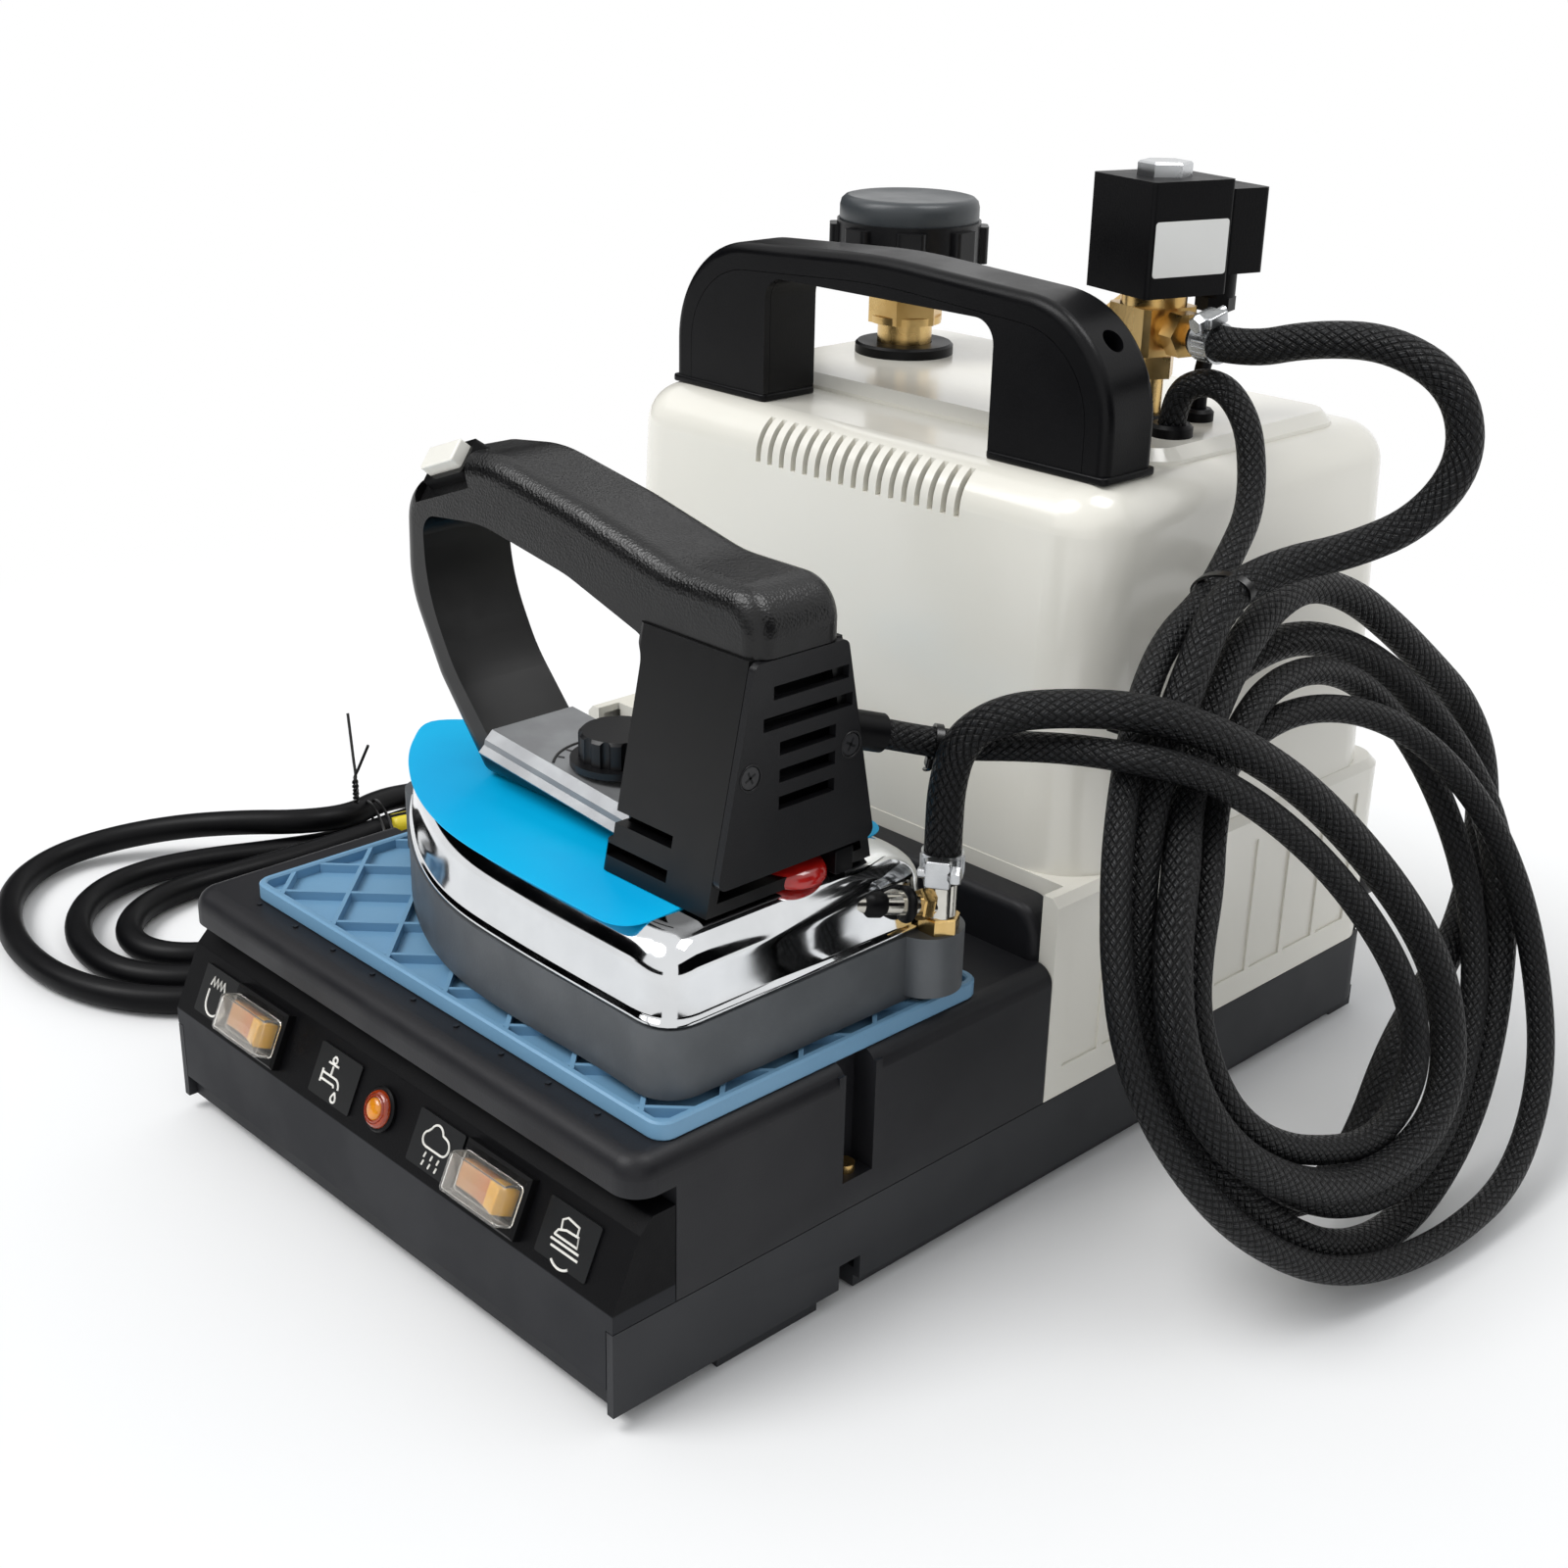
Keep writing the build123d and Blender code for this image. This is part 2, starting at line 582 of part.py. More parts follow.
# -------------------------------------------------------------- boiler and parts
def tank_form(inset):
    """Horizontal drum with domed ends, about the X axis."""
    half = TANK_LENGTH / 2 - inset
    radius = TANK_DIAMETER / 2 - inset
    dish = TANK_DISH - inset * 0.3
    straight = half - dish
    path = Polyline((-half, 0), (half, 0))
    right = ThreePointArc((half, 0), (straight + dish * 0.77, radius * 0.62), (straight, radius))
    left = ThreePointArc((-half, 0), (-straight - dish * 0.77, radius * 0.62), (-straight, radius))
    side = Line((straight, radius), (-straight, radius))
    face = make_face([path, right, side, left])
    return Pos(0, TANK_Y, TANK_Z) * revolve(face, Axis.X)


def boiler_tank():
    tank = tank_form(0)
    for x in (-SADDLE_X, SADDLE_X):
        foot = block(
            x - SADDLE_THICK / 2,
            x + SADDLE_THICK / 2,
            TANK_Y - SADDLE_HALF,
            TANK_Y + SADDLE_HALF,
            TRAY_FLOOR + WALL,
            TANK_Z - SADDLE_HALF,
        )
        tank += foot
    tank -= tank_form(TANK_WALL)
    tank -= disc(NECK_X, NECK_Y, TANK_Z, TANK_Z + TANK_DIAMETER, NECK_BORE / 2)
    tank -= disc(VALVE_X, VALVE_Y, TANK_Z, TANK_Z + TANK_DIAMETER, PIPE_DIAMETER / 2 - 2)
    left = -TANK_LENGTH / 2
    for y in (-1, 1):
        tank -= rod(
            (left - 5, TANK_Y + y * ELEMENT_SPREAD / 2, TANK_Z - ELEMENT_DROP + 12),
            (left + 30, TANK_Y + y * ELEMENT_SPREAD / 2, TANK_Z - ELEMENT_DROP + 12),
            ELEMENT_ROD / 2 + SEAT,
        )
    return tank


def tank_top(x, y):
    """Height of the drum's skin above a point near its middle line."""
    return TANK_Z + sqrt((TANK_DIAMETER / 2) ** 2 - (y - TANK_Y) ** 2)


def heating_element():
    """Immersion hairpin through the left end of the drum."""
    z = TANK_Z - ELEMENT_DROP + 12
    y0, y1 = TANK_Y - ELEMENT_SPREAD / 2, TANK_Y + ELEMENT_SPREAD / 2
    x0 = -TANK_LENGTH / 2 - 12
    x1 = x0 + ELEMENT_REACH
    bend = FilletPolyline((x0, y0, z), (x1, y0, z), (x1, y1, z), (x0, y1, z), radius=ELEMENT_SPREAD / 2 - 1)
    profile = Plane(origin=(x0, y0, z), z_dir=(1, 0, 0)) * Circle(ELEMENT_ROD / 2)
    return sweep(profile, path=bend)


def filler_neck():
    z0 = tank_top(NECK_X, NECK_Y)
    neck = disc(NECK_X, NECK_Y, z0 - 6, NECK_TOP, NECK_THREAD / 2)
    neck -= disc(NECK_X, NECK_Y, z0 - 7, NECK_TOP + 1, NECK_BORE / 2)
    return neck - tank_form(-FIT)


def neck_flange():
    z0, z1 = PLATEAU_TOP, PLATEAU_TOP + FLANGE_THICK
    ring = disc(NECK_X, NECK_Y, z0, z1, FLANGE_DIAMETER / 2)
    ring = chamfer(ring.faces().sort_by(Axis.Z)[-1].edges(), 1.0)
    return ring - disc(NECK_X, NECK_Y, z0 - 1, z1 + 1, NECK_THREAD / 2 + SEAT)


def plug_seal():
    z0 = NECK_TOP + 0.05
    ring = disc(NECK_X, NECK_Y, z0, z0 + PLUG_SEAL, NECK_THREAD / 2)
    return ring - disc(NECK_X, NECK_Y, z0 - 1, z0 + PLUG_SEAL + 1, NECK_BORE / 2)


def filler_plug():
    """Brass cap nut screwed over the neck."""
    body = Pos(NECK_X, NECK_Y, PLUG_BOTTOM) * hex_bar(PLUG_HEX, PLUG_TOP - PLUG_BOTTOM)
    ceiling = NECK_TOP + PLUG_SEAL + 0.1
    body -= disc(NECK_X, NECK_Y, PLUG_BOTTOM - 1, ceiling, NECK_THREAD / 2 + 0.3)
    collar = disc(NECK_X, NECK_Y, PLUG_BOTTOM, PLUG_BOTTOM + 3, PLUG_HEX / 2 + 1.2)
    collar -= disc(NECK_X, NECK_Y, PLUG_BOTTOM - 1, PLUG_BOTTOM + 4, NECK_THREAD / 2 + 0.3)
    boss = disc(NECK_X, NECK_Y, PLUG_TOP, PLUG_TOP + 6, 7.0)
    return body + collar + boss


def filler_knob():
    """Heat-proof hand knob with grip lugs and a domed crown."""
    z0 = PLUG_TOP
    rim = KNOB_DIAMETER / 2
    knob = Cylinder(rim, KNOB_WALL_HEIGHT, align=CENTRE_LOW)
    for k in range(KNOB_LUGS):
        pad = RectangleRounded(2 * KNOB_LUG + 2, 12, 2.2)
        lug = Pos(rim - 1.0, 0, 0) * extrude(pad, KNOB_WALL_HEIGHT - 2)
        knob += Rot(0, 0, 360 / KNOB_LUGS * k) * lug
    sag = KNOB_CROWN
    ball = (rim ** 2 + sag ** 2) / (2 * sag)
    crown = Pos(0, 0, KNOB_WALL_HEIGHT + sag - ball) * Sphere(ball)
    crown &= Pos(0, 0, KNOB_WALL_HEIGHT) * Cylinder(rim - 2.5, sag + 1, align=CENTRE_LOW)
    knob += crown
    knob -= Cylinder(7.0 + 0.05, 6.1, align=CENTRE_LOW)
    groove = Cylinder(rim - 5, 3.0, align=CENTRE_LOW) - Cylinder(PLUG_HEX / 2 + 5, 3.0, align=CENTRE_LOW)
    knob -= groove
    return Pos(NECK_X, NECK_Y, z0) * knob


def grommet_places():
    """x, y and outer radius of each rubber grommet on the cover's plateau."""
    return (
        (VALVE_X, VALVE_Y, PIPE_DIAMETER / 2 + 3.5),
        (VALVE_X + 9, VALVE_Y + 21, 6.0),
        (VALVE_X + 18, VALVE_Y - 7.5, 8.0),
    )


def cover_grommets():
    rings = []
    bores = (PIPE_DIAMETER / 2 + 0.1, 3.1, CABLE / 2 + 0.1)
    for (x, y, radius), bore in zip(grommet_places(), bores):
        ring = disc(x, y, PLATEAU_TOP, PLATEAU_TOP + 4.5, radius)
        ring = chamfer(ring.faces().sort_by(Axis.Z)[-1].edges(), 1.2)
        ring += disc(x, y, PLATEAU_TOP - 3, PLATEAU_TOP, radius - 2.1)
        rings.append(ring - disc(x, y, PLATEAU_TOP - 10, PLATEAU_TOP + 10, bore))
    return Compound(rings)


def valve_pipe():
    z0 = tank_top(VALVE_X, VALVE_Y)
    pipe = disc(VALVE_X, VALVE_Y, z0 - 4, VALVE_BOTTOM, PIPE_DIAMETER / 2)
    pipe += Pos(VALVE_X, VALVE_Y, VALVE_BOTTOM - 9) * hex_bar(17, 8)
    pipe -= disc(VALVE_X, VALVE_Y, z0 - 5, VALVE_BOTTOM + 1, PIPE_DIAMETER / 2 - 2)
    return pipe - tank_form(0)


def at_valve(z):
    return Pos(VALVE_X, VALVE_Y, z) * Rot(0, 0, VALVE_TURN)


def valve_body():
    block_part = Box(VALVE_BLOCK, VALVE_BLOCK, VALVE_HEIGHT - 4, align=CENTRE_LOW)
    block_part = chamfer(block_part.edges().filter_by(Axis.Z), 2.0)
    seat = Pos(0, 0, VALVE_HEIGHT - 4) * Cylinder(VALVE_BLOCK / 2, 4.9, align=CENTRE_LOW)
    left = Pos(-VALVE_BLOCK / 2 - 7, 0, 9) * Rot(0, 90, 0) * hex_bar(15, 7)
    right = Pos(VALVE_BLOCK / 2, 0, 9) * Rot(0, 90, 0) * Cylinder(7, 3, align=CENTRE_LOW)
    body = block_part + seat + left + right
    body -= Pos(0, 0, 6) * Cylinder(ARMATURE / 2 - 1.5, VALVE_HEIGHT, align=CENTRE_LOW)
    body -= Pos(0, 0, -1) * Cylinder(3, 4, align=CENTRE_LOW)
    return at_valve(VALVE_BOTTOM) * body


def valve_tube():
    """Closed steel tube that the plunger runs in and the coil slips over."""
    low = VALVE_HEIGHT + 0.9
    top = COIL_BOTTOM + COIL_HEIGHT + 1.5 - VALVE_BOTTOM
    tube = Pos(0, 0, low) * Cylinder(ARMATURE / 2, top - low, align=CENTRE_LOW)
    bore_top = PLUNGER_LOW + PLUNGER_LENGTH + PLUNGER_STROKE + 0.3
    tube -= Pos(0, 0, low - 1) * Cylinder(ARMATURE / 2 - 1.2, bore_top - low + 1, align=CENTRE_LOW)
    return at_valve(VALVE_BOTTOM) * tube


def valve_plunger():
    rest = Pos(0, 0, PLUNGER_LOW) * Cylinder(PLUNGER / 2, PLUNGER_LENGTH, align=CENTRE_LOW)
    return at_valve(VALVE_BOTTOM) * chamfer(rest.faces().sort_by(Axis.Z)[-1].edges(), 0.8)


def valve_coil():
    body = Box(COIL_SIZE, COIL_SIZE, COIL_HEIGHT, align=CENTRE_LOW)
    body = fillet(body.edges().filter_by(Axis.Z), 1.6)
    body -= Pos(0, 0, -1) * Cylinder(ARMATURE / 2 + 0.1, COIL_HEIGHT + 2, align=CENTRE_LOW)
    body += Pos(0, COIL_SIZE / 2, 12) * Box(16, 3, 16, align=CENTRE_LOW)
    return at_valve(COIL_BOTTOM) * body


def coil_nut():
    z0 = COIL_BOTTOM + COIL_HEIGHT
    nut = hex_bar(17, 5.0) - Cylinder(ARMATURE / 2 + 0.05, 2.0, align=CENTRE_LOW)
    return at_valve(z0 + 0.02) * chamfer(nut.faces().sort_by(Axis.Z)[-1].edges(), 0.7)


def valve_connector():
    """Field plug on the back of the coil, its gland pointing down."""
    y0 = COIL_SIZE / 2 + 1.6
    body = Box(CONNECTOR_WIDTH, CONNECTOR_DEPTH, 30, align=(Align.CENTER, Align.MIN, Align.MIN))
    body = fillet(body.edges().filter_by(Axis.Z), 2.0)
    body = Pos(0, y0, 6) * body
    gland_y = y0 + CONNECTOR_DEPTH / 2
    gland = Pos(0, gland_y, -CONNECTOR_DROP) * Cylinder(7.0, 6 + CONNECTOR_DROP, align=CENTRE_LOW)
    gland += Pos(0, gland_y, -CONNECTOR_DROP - 5) * hex_bar(13, 5)
    screw = Pos(0, y0 + CONNECTOR_DEPTH, 24) * Rot(-90, 0, 0) * Cylinder(3, 1.5, align=CENTRE_LOW)
    return at_valve(COIL_BOTTOM) * (body + gland + screw)


def connector_foot():
    """Where the short lead leaves the field plug."""
    reach = COIL_SIZE / 2 + 1.6 + CONNECTOR_DEPTH / 2
    turn = radians(VALVE_TURN)
    x = VALVE_X - reach * sin(turn)
    y = VALVE_Y + reach * cos(turn)
    return (x, y, COIL_BOTTOM - CONNECTOR_DROP - 5)


def valve_cable():
    start = connector_foot()
    x, y, _ = grommet_places()[1]
    foot = PLATEAU_TOP - 2
    drop = start[2] - foot
    points = [start, (start[0], start[1], foot + 0.72 * drop), (x, y, foot + 0.48 * drop), (x, y, foot)]
    path = FilletPolyline(*points, radius=[0.28 * drop, 0.28 * drop])
    return sweep(Plane(origin=start, z_dir=(0, 0, -1)) * Circle(3.0), path=path)


def barb_axis():
    turn = radians(VALVE_TURN)
    return (cos(turn), sin(turn), 0.0)


def barb_point(distance):
    """A point on the outlet's axis, measured from the middle of the valve."""
    ax = barb_axis()
    return (VALVE_X + ax[0] * distance, VALVE_Y + ax[1] * distance, VALVE_BOTTOM + 9)


BARB_START = VALVE_BLOCK / 2 + 3


def hose_barb():
    start = Plane(origin=barb_point(BARB_START), z_dir=barb_axis())
    nut = start * hex_bar(15, 7)
    tail = rod(barb_point(BARB_START + 7), barb_point(BARB_START + 12), BARB_DIAMETER / 2)
    return nut + tail


HOSE_START = BARB_START + 12


def hose_clamp():
    """Worm-drive band round the hose end, with its screw housing on top."""
    band = rod(barb_point(HOSE_START + 2), barb_point(HOSE_START + 2 + CLAMP_WIDTH), HOSE / 2 + 1.0)
    band -= rod(barb_point(HOSE_START), barb_point(HOSE_START + 4 + CLAMP_WIDTH), HOSE / 2 + 0.1)
    housing = Plane(origin=barb_point(HOSE_START + 2), z_dir=barb_axis())
    screw = Pos(0, HOSE / 2 + 3.2, CLAMP_WIDTH / 2) * Box(12, 5, CLAMP_WIDTH - 1)
    return band + housing * screw


def pressure_switch():
    """Domed pressure switch on a stub from the drum."""
    x, y = 20.0, TANK_Y
    z0 = tank_top(x, y)
    body = disc(x, y, z0 - 3, z0 + 12, 5) - tank_form(0)
    body += disc(x, y, z0 + 12, z0 + 22, 17)
    return body + disc(x, y, z0 + 22, z0 + 34, 10)


def safety_thermostat():
    """Snap thermostat clipped on the drum."""
    x, y = -20.0, TANK_Y
    z0 = tank_top(x, y)
    body = disc(x, y, z0 - 2, z0 + 9, 8) - tank_form(0)
    body += disc(x, y, z0 + 9, z0 + 11, 10)
    return body


def terminal_block():
    x0, y0, z0 = 60.0, -70.0, TRAY_FLOOR + WALL
    strip = block(x0, x0 + 46, y0, y0 + 18, z0, z0 + 14)
    for k in range(5):
        strip += block(x0 + 2 + 9 * k, x0 + 9 + 9 * k, y0 + 4, y0 + 14, z0 + 14, z0 + 18)
        strip -= disc(x0 + 5.5 + 9 * k, y0 + 9, z0 + 12, z0 + 19, 1.8)
    return strip


def drain_spout():
    """Drain cock at the rear of the right side, with its cup and brass tap."""
    x, y, z = DRAIN_PLACE
    mouth = BACK + DRAIN_PROUD
    cup = rod((x, y, z), (x, mouth, z), DRAIN_CUP / 2)
    cup -= rod((x, y + 4, z), (x, mouth + 1, z), DRAIN_CUP / 2 - 1.8)
    tap = rod((x, y - 10, z), (x, mouth - 0.6, z), 3.2)
    return cup + tap


def drain_hole():
    x, y, z = DRAIN_PLACE
    return rod((x, y - 12, z), (x, BACK + 1, z), DRAIN_CUP / 2 + SEAT)


# ------------------------------------------------------------------ carry handle
def handle_outline(inset):
    """Front outline of the arch, in x and z, without its lower opening."""
    half = HANDLE_HALF - inset
    return [
        (-half, COVER_TOP),
        (-half, HANDLE_TOP - 5 - inset),
        (0, HANDLE_TOP + 1 - inset),
        (half, HANDLE_TOP - 5 - inset),
        (half, COVER_TOP),
    ]


def carry_handle():
    y0, y1 = HANDLE_FRONT, HANDLE_FRONT + HANDLE_DEPTH
    arch = along_y(handle_outline(0), [0, HANDLE_SHOULDER, HANDLE_CROWN, HANDLE_SHOULDER, 0], y0, y1)
    rim = arch.faces().filter_by(Axis.Y).edges().filter_by(lambda e: (e @ 0.5).Z > COVER_TOP + 0.5)
    arch = fillet(rim, HANDLE_RIM)
    arch -= handle_gap(0)
    arch -= insert_form(SEAT)
    for side in (-1, 1):
        arch -= handle_screw_hole(side)
    return arch


def handle_screw_hole(side):
    """Deep screw recess in the shoulder of the arch, square to its skin."""
    x, z = side * (HANDLE_HALF - 0.29 * HANDLE_SHOULDER), HANDLE_TOP - 5 - 0.29 * HANDLE_SHOULDER
    y = HANDLE_FRONT + HANDLE_DEPTH / 2
    deep = 8.0
    return rod((x - side * deep, y, z - deep), (x + side * deep, y, z + deep), HANDLE_SCREW_HOLE / 2)


def insert_form(grow):
    """Front insert of the handle: a plate set into the face, inset from the rim."""
    inset = INSERT_INSET - grow
    shoulder = HANDLE_SHOULDER - inset
    y1 = HANDLE_FRONT + INSERT_THICK + grow
    form = along_y(handle_outline(inset), [0, shoulder, HANDLE_CROWN, shoulder, 0], HANDLE_FRONT - grow, y1)
    return form - handle_gap(0)


def handle_gap(grow):
    """The hand opening under the arch."""
    half, top = HANDLE_GAP_HALF + grow, HANDLE_GAP_TOP + grow
    low = COVER_TOP - 1
    y1 = HANDLE_FRONT + HANDLE_DEPTH
    opening = [(-half, low), (-half, top), (half, top), (half, low)]
    return along_y(opening, [0, 9, 9, 0], HANDLE_FRONT - 1, y1 + 1)


def handle_insert():
    return insert_form(0)


def case_screws():
    """Cheese-head screws: one in each deck pocket, four up through the tray."""
    screws = []
    for side in (-1, 1):
        x = side * (HALF_W - POCKET_DEPTH + 4)
        y = NOTCH_BACK + 4 - POCKET_LENGTH / 2
        screws.append(disc(x, y, POCKET_FLOOR, POCKET_FLOOR + 3.0, 3.4))
    return Compound(screws)


# ------------------------------------------------------------------------- iron
IRON = Pos(IRON_HEEL_X, IRON_Y, 0)
# axis of the branch from the inlet into the cover's heel
INLET_BRANCH = 7.0
INLET_COLLAR = 9.2
INLET_RING = 0.28               # the O-ring's share of the way along the branch
INLET_TUBE = ((INLET_X, INLET_Y - 3, SOLE_TOP + 10), (-9.0, 17.0, SOLE_TOP + 17))
# share of the rise, then how far the cover has leaned in there
COVER_STATIONS = ((0.0, 0.0), (0.52, 1.4), (0.74, 3.2), (0.88, 6.0), (0.96, 9.4), (1.0, 13.0))
# share of the length behind the heel corner, then share of the half width
SOLE_STATIONS = ((0.0, 1.0), (0.3, 0.985), (0.5, 0.93), (0.66, 0.76), (0.82, 0.47), (0.945, 0.165))


def sole_face(inset):
    """Plan of the sole shrunk by an inset: straight heel, curved flanks, round nose at -X."""
    length = SOLE_LENGTH - 2 * inset
    half = SOLE_HALF - inset
    corner = HEEL_CORNER
    bow = 0.42 * corner
    heel = -inset
    side = [(heel - corner - (length - corner) * u, half * w) for u, w in SOLE_STATIONS]
    low_side = [(x, -y) for x, y in side]
    nose = ThreePointArc(side[-1], (heel - length, 0), low_side[-1])
    arc_top = Bezier(side[0], (heel - bow, half), (heel, half - bow), (heel, half - corner))
    arc_low = Bezier(low_side[0], (heel - bow, -half), (heel, bow - half), (heel, corner - half))
    back = Line((heel, half - corner), (heel, corner - half))
    return make_face([Spline(*side), nose, Spline(*low_side), arc_low, back, arc_top])


def sole_plate():
    """Cast aluminium sole with its cast-in element, steam ducts and inlet lug."""
    sole = Pos(0, 0, SOLE_BOTTOM) * extrude(sole_face(0), SOLE_THICK)
    lug = disc(LUG_X, LUG_Y, SOLE_BOTTOM + 2, SOLE_TOP, LUG_RADIUS)
    sole += lug
    duct_depth = 6.0
    for k in range(STEAM_HOLES):
        for side in (-1, 1):
            x = -SOLE_LENGTH + 26 + 17 * k
            y = side * (6 + 5.0 * k) * 0.9
            sole -= disc(x, y, SOLE_BOTTOM - 1, SOLE_BOTTOM + duct_depth, STEAM_HOLE / 2)
    return IRON * sole


def cover_form(inset, drop):
    """Domed form of the iron's cover: steep flanks turning over into a flat top."""
    height = IRON_COVER_TOP - drop - SOLE_TOP
    sections = [
        Pos(0, 0, SOLE_TOP + height * share) * sole_face(COVER_INSET + inset + lean)
        for share, lean in COVER_STATIONS
    ]
    return loft(sections, ruled=True)


def iron_cover():
    """Chrome-plated pressed cover over the sole."""
    cover = cover_form(0, 0)
    inner = cover_form(IRON_COVER_WALL, IRON_COVER_WALL)
    cover -= Pos(0, 0, -0.01) * inner
    cover -= disc(-DIAL_X, 0, SOLE_TOP + 5, IRON_COVER_TOP + 1, DIAL_SHAFT / 2 + 2)
    return IRON * (cover - inlet_hole())


def inlet_hole():
    return rod(*INLET_TUBE, INLET_COLLAR / 2 + SEAT)


def film_shield():
    """Blue sheet laid under the handle, its edge just inside the cover's."""
    sheet = Pos(0, 0, IRON_COVER_TOP + 0.02) * extrude(sole_face(FILM_INSET), FILM_THICK)
    keep = plate(-SOLE_LENGTH, -FILM_HEEL, -SOLE_HALF, SOLE_HALF, 0, IRON_COVER_TOP + 5, 12)
    sheet = sheet & keep
    return IRON * (sheet - disc(-DIAL_X, 0, 0, IRON_COVER_TOP + 5, DIAL_SHAFT / 2 + 2))


def handle_side():
    """Side outlines of the D grip: outside and inside, in x and z."""
    outside = [
        (-150, HEEL_BLOCK_BOTTOM), (-176, 180), (-193, 210), (-192, 243), (-170, 263),
        (-140, 267), (-94, 259.5), (-50, 250), (-HEEL_FACE, 250), (-HEEL_FACE, HEEL_BLOCK_BOTTOM),
    ]
    inside = [
        (-58, PLATE_LOW - 3), (-58, 224), (-99, 236), (-145, 243), (-179, 239),
        (-178, 212), (-164, 187), (-143, 165), (-100, 161),
    ]
    return outside, inside


def heel_half(z):
    """Half width of the flared heel block at a height."""
    share = (z - HEEL_BLOCK_BOTTOM) / (HEEL_SEAM - HEEL_BLOCK_BOTTOM)
    return HEEL_BLOCK_HALF + (GRIP_HALF + 1 - HEEL_BLOCK_HALF) * share


def heel_block():
    """Flared rear of the handle, narrow at the grip and wide on the cover."""
    x0, x1 = -HEEL_FACE - HEEL_LENGTH, -HEEL_FACE
    low = Pos((x0 + x1) / 2, 0, HEEL_BLOCK_BOTTOM) * Rectangle(x1 - x0, 2 * HEEL_BLOCK_HALF)
    top_w = 2 * (GRIP_HALF + 1)
    high = Pos((x0 + x1) / 2, 0, HEEL_SEAM) * Rectangle(x1 - x0, top_w)
    return loft([low, high], ruled=True)


def iron_handle():
    outside, inside = handle_side()
    outer_face = outline(outside, [4, 24, 40, 18, 18, 60, 80, 60, 14, 0])
    inner_face = outline(inside, [2, 9, 60, 60, 8, 60, 60, 10, 20])
    ring = extrude(Plane.XZ * outer_face, GRIP_HALF, both=True)
    sides = ring.faces().filter_by(Axis.Y).edges().filter_by(lambda e: (e @ 0.5).Z > HEEL_BLOCK_BOTTOM + 0.5)
    ring = fillet(sides.filter_by(lambda e: (e @ 0.5).X < -HEEL_FACE - 0.1), GRIP_ROUND)
    block_part = heel_block()
    block_part = fillet(block_part.edges().filter_by(lambda e: abs((e @ 0.5).Z - 191) < 5), 3.0)
    handle = ring + block_part
    handle -= extrude(Plane.XZ * inner_face, SOLE_HALF, both=True)
    cavity_x1 = -HEEL_FACE - HEEL_COVER_THICK
    handle -= block(cavity_x1, 5, -SOLE_HALF, SOLE_HALF, 0, HEEL_SEAM)
    handle -= heel_room(0)
    for z in (157.5, 168.5):
        for side in (-1, 1):
            y0, y1 = sorted((side * (HEEL_BLOCK_HALF - 9), side * (HEEL_BLOCK_HALF + 3)))
            handle -= block(-60, -31, y0, y1, z - 2, z + 2)
    handle -= disc(-DIAL_X, 0, HEEL_BLOCK_BOTTOM - 5, PLATE_HIGH, DIAL_SHAFT / 2 + 2)
    handle -= button_pocket()
    handle -= rod(BOOT_START, BOOT_END, BOOT_RADIUS + SEAT)
    handle -= lamp_form(0.3)
    for y in HEEL_SCREW_Y:
        handle -= rod((-HEEL_FACE - 7, y, HEEL_SCREW_Z), (0, y, HEEL_SCREW_Z), HEEL_SCREW / 2 + 0.05)
    return IRON * handle


def heel_room(grow):
    """Wiring room inside the heel of the handle."""
    x0, x1 = -HEEL_FACE - HEEL_LENGTH + 5, -HEEL_FACE
    low = Pos((x0 + x1) / 2, 0, HEEL_BLOCK_BOTTOM + 4) * Rectangle(x1 - x0, 2 * (HEEL_BLOCK_HALF - 4.5))
    high = Pos((x0 + x1) / 2, 0, HEEL_SEAM - 6) * Rectangle(x1 - x0, 2 * (GRIP_HALF - 4))
    return loft([low, high], ruled=True)


def heel_cover():
    """Rear closing plate of the handle with its louvres and two screw seats."""
    x0, x1 = -HEEL_FACE - HEEL_COVER_THICK + SEAT, -HEEL_FACE
    high_half = GRIP_HALF + 1
    z0, z1 = HEEL_COVER_BOTTOM, HEEL_SEAM - SEAM
    low_half = heel_half(z0)
    shape = outline(
        [(-low_half, z0), (low_half, z0), (high_half, z1), (-high_half, z1)], [3, 3, 3, 3]
    )
    cover = Pos(x0, 0, 0) * extrude(Plane.YZ * shape, x1 - x0)
    for z, y0, y1 in LOUVRES:
        cover -= block(x0 - 1, x1 + 1, y0, y1, z - 2.2, z + 2.2)
    for y in HEEL_SCREW_Y:
        cover -= rod((x1 - 1.2, y, HEEL_SCREW_Z), (x1 + 1, y, HEEL_SCREW_Z), 3.9)
        cover -= rod((x0 - 1, y, HEEL_SCREW_Z), (x1 + 1, y, HEEL_SCREW_Z), 1.9)
    return IRON * cover


LOUVRES = ((219, -12, 20), (209.5, -16, 22), (200.5, -9, 15), (191.5, -9, 15), (182.5, -9, 15))
HEEL_SCREW_Y = (-21.0, 22.0)
HEEL_SCREW_Z = 194.0
HEEL_SCREW = 3.2


def heel_screws():
    x1 = -HEEL_FACE
    screws = []
    for y in HEEL_SCREW_Y:
        head = rod((x1 - 1.15, y, HEEL_SCREW_Z), (x1 - 0.1, y, HEEL_SCREW_Z), 3.6)
        shank = rod((x1 - 6.5, y, HEEL_SCREW_Z), (x1 - 1.0, y, HEEL_SCREW_Z), HEEL_SCREW / 2)
        screws.append(IRON * (head + shank))
    return Compound(screws)


def plate_frame():
    """Plane of the label plate: x towards the heel, z out of the plate."""
    run, rise = PLATE_FRONT - PLATE_BACK, PLATE_LOW - PLATE_HIGH
    return Plane(origin=(-PLATE_FRONT, 0, PLATE_HIGH), x_dir=(run, 0, rise), z_dir=(-rise, 0, run))


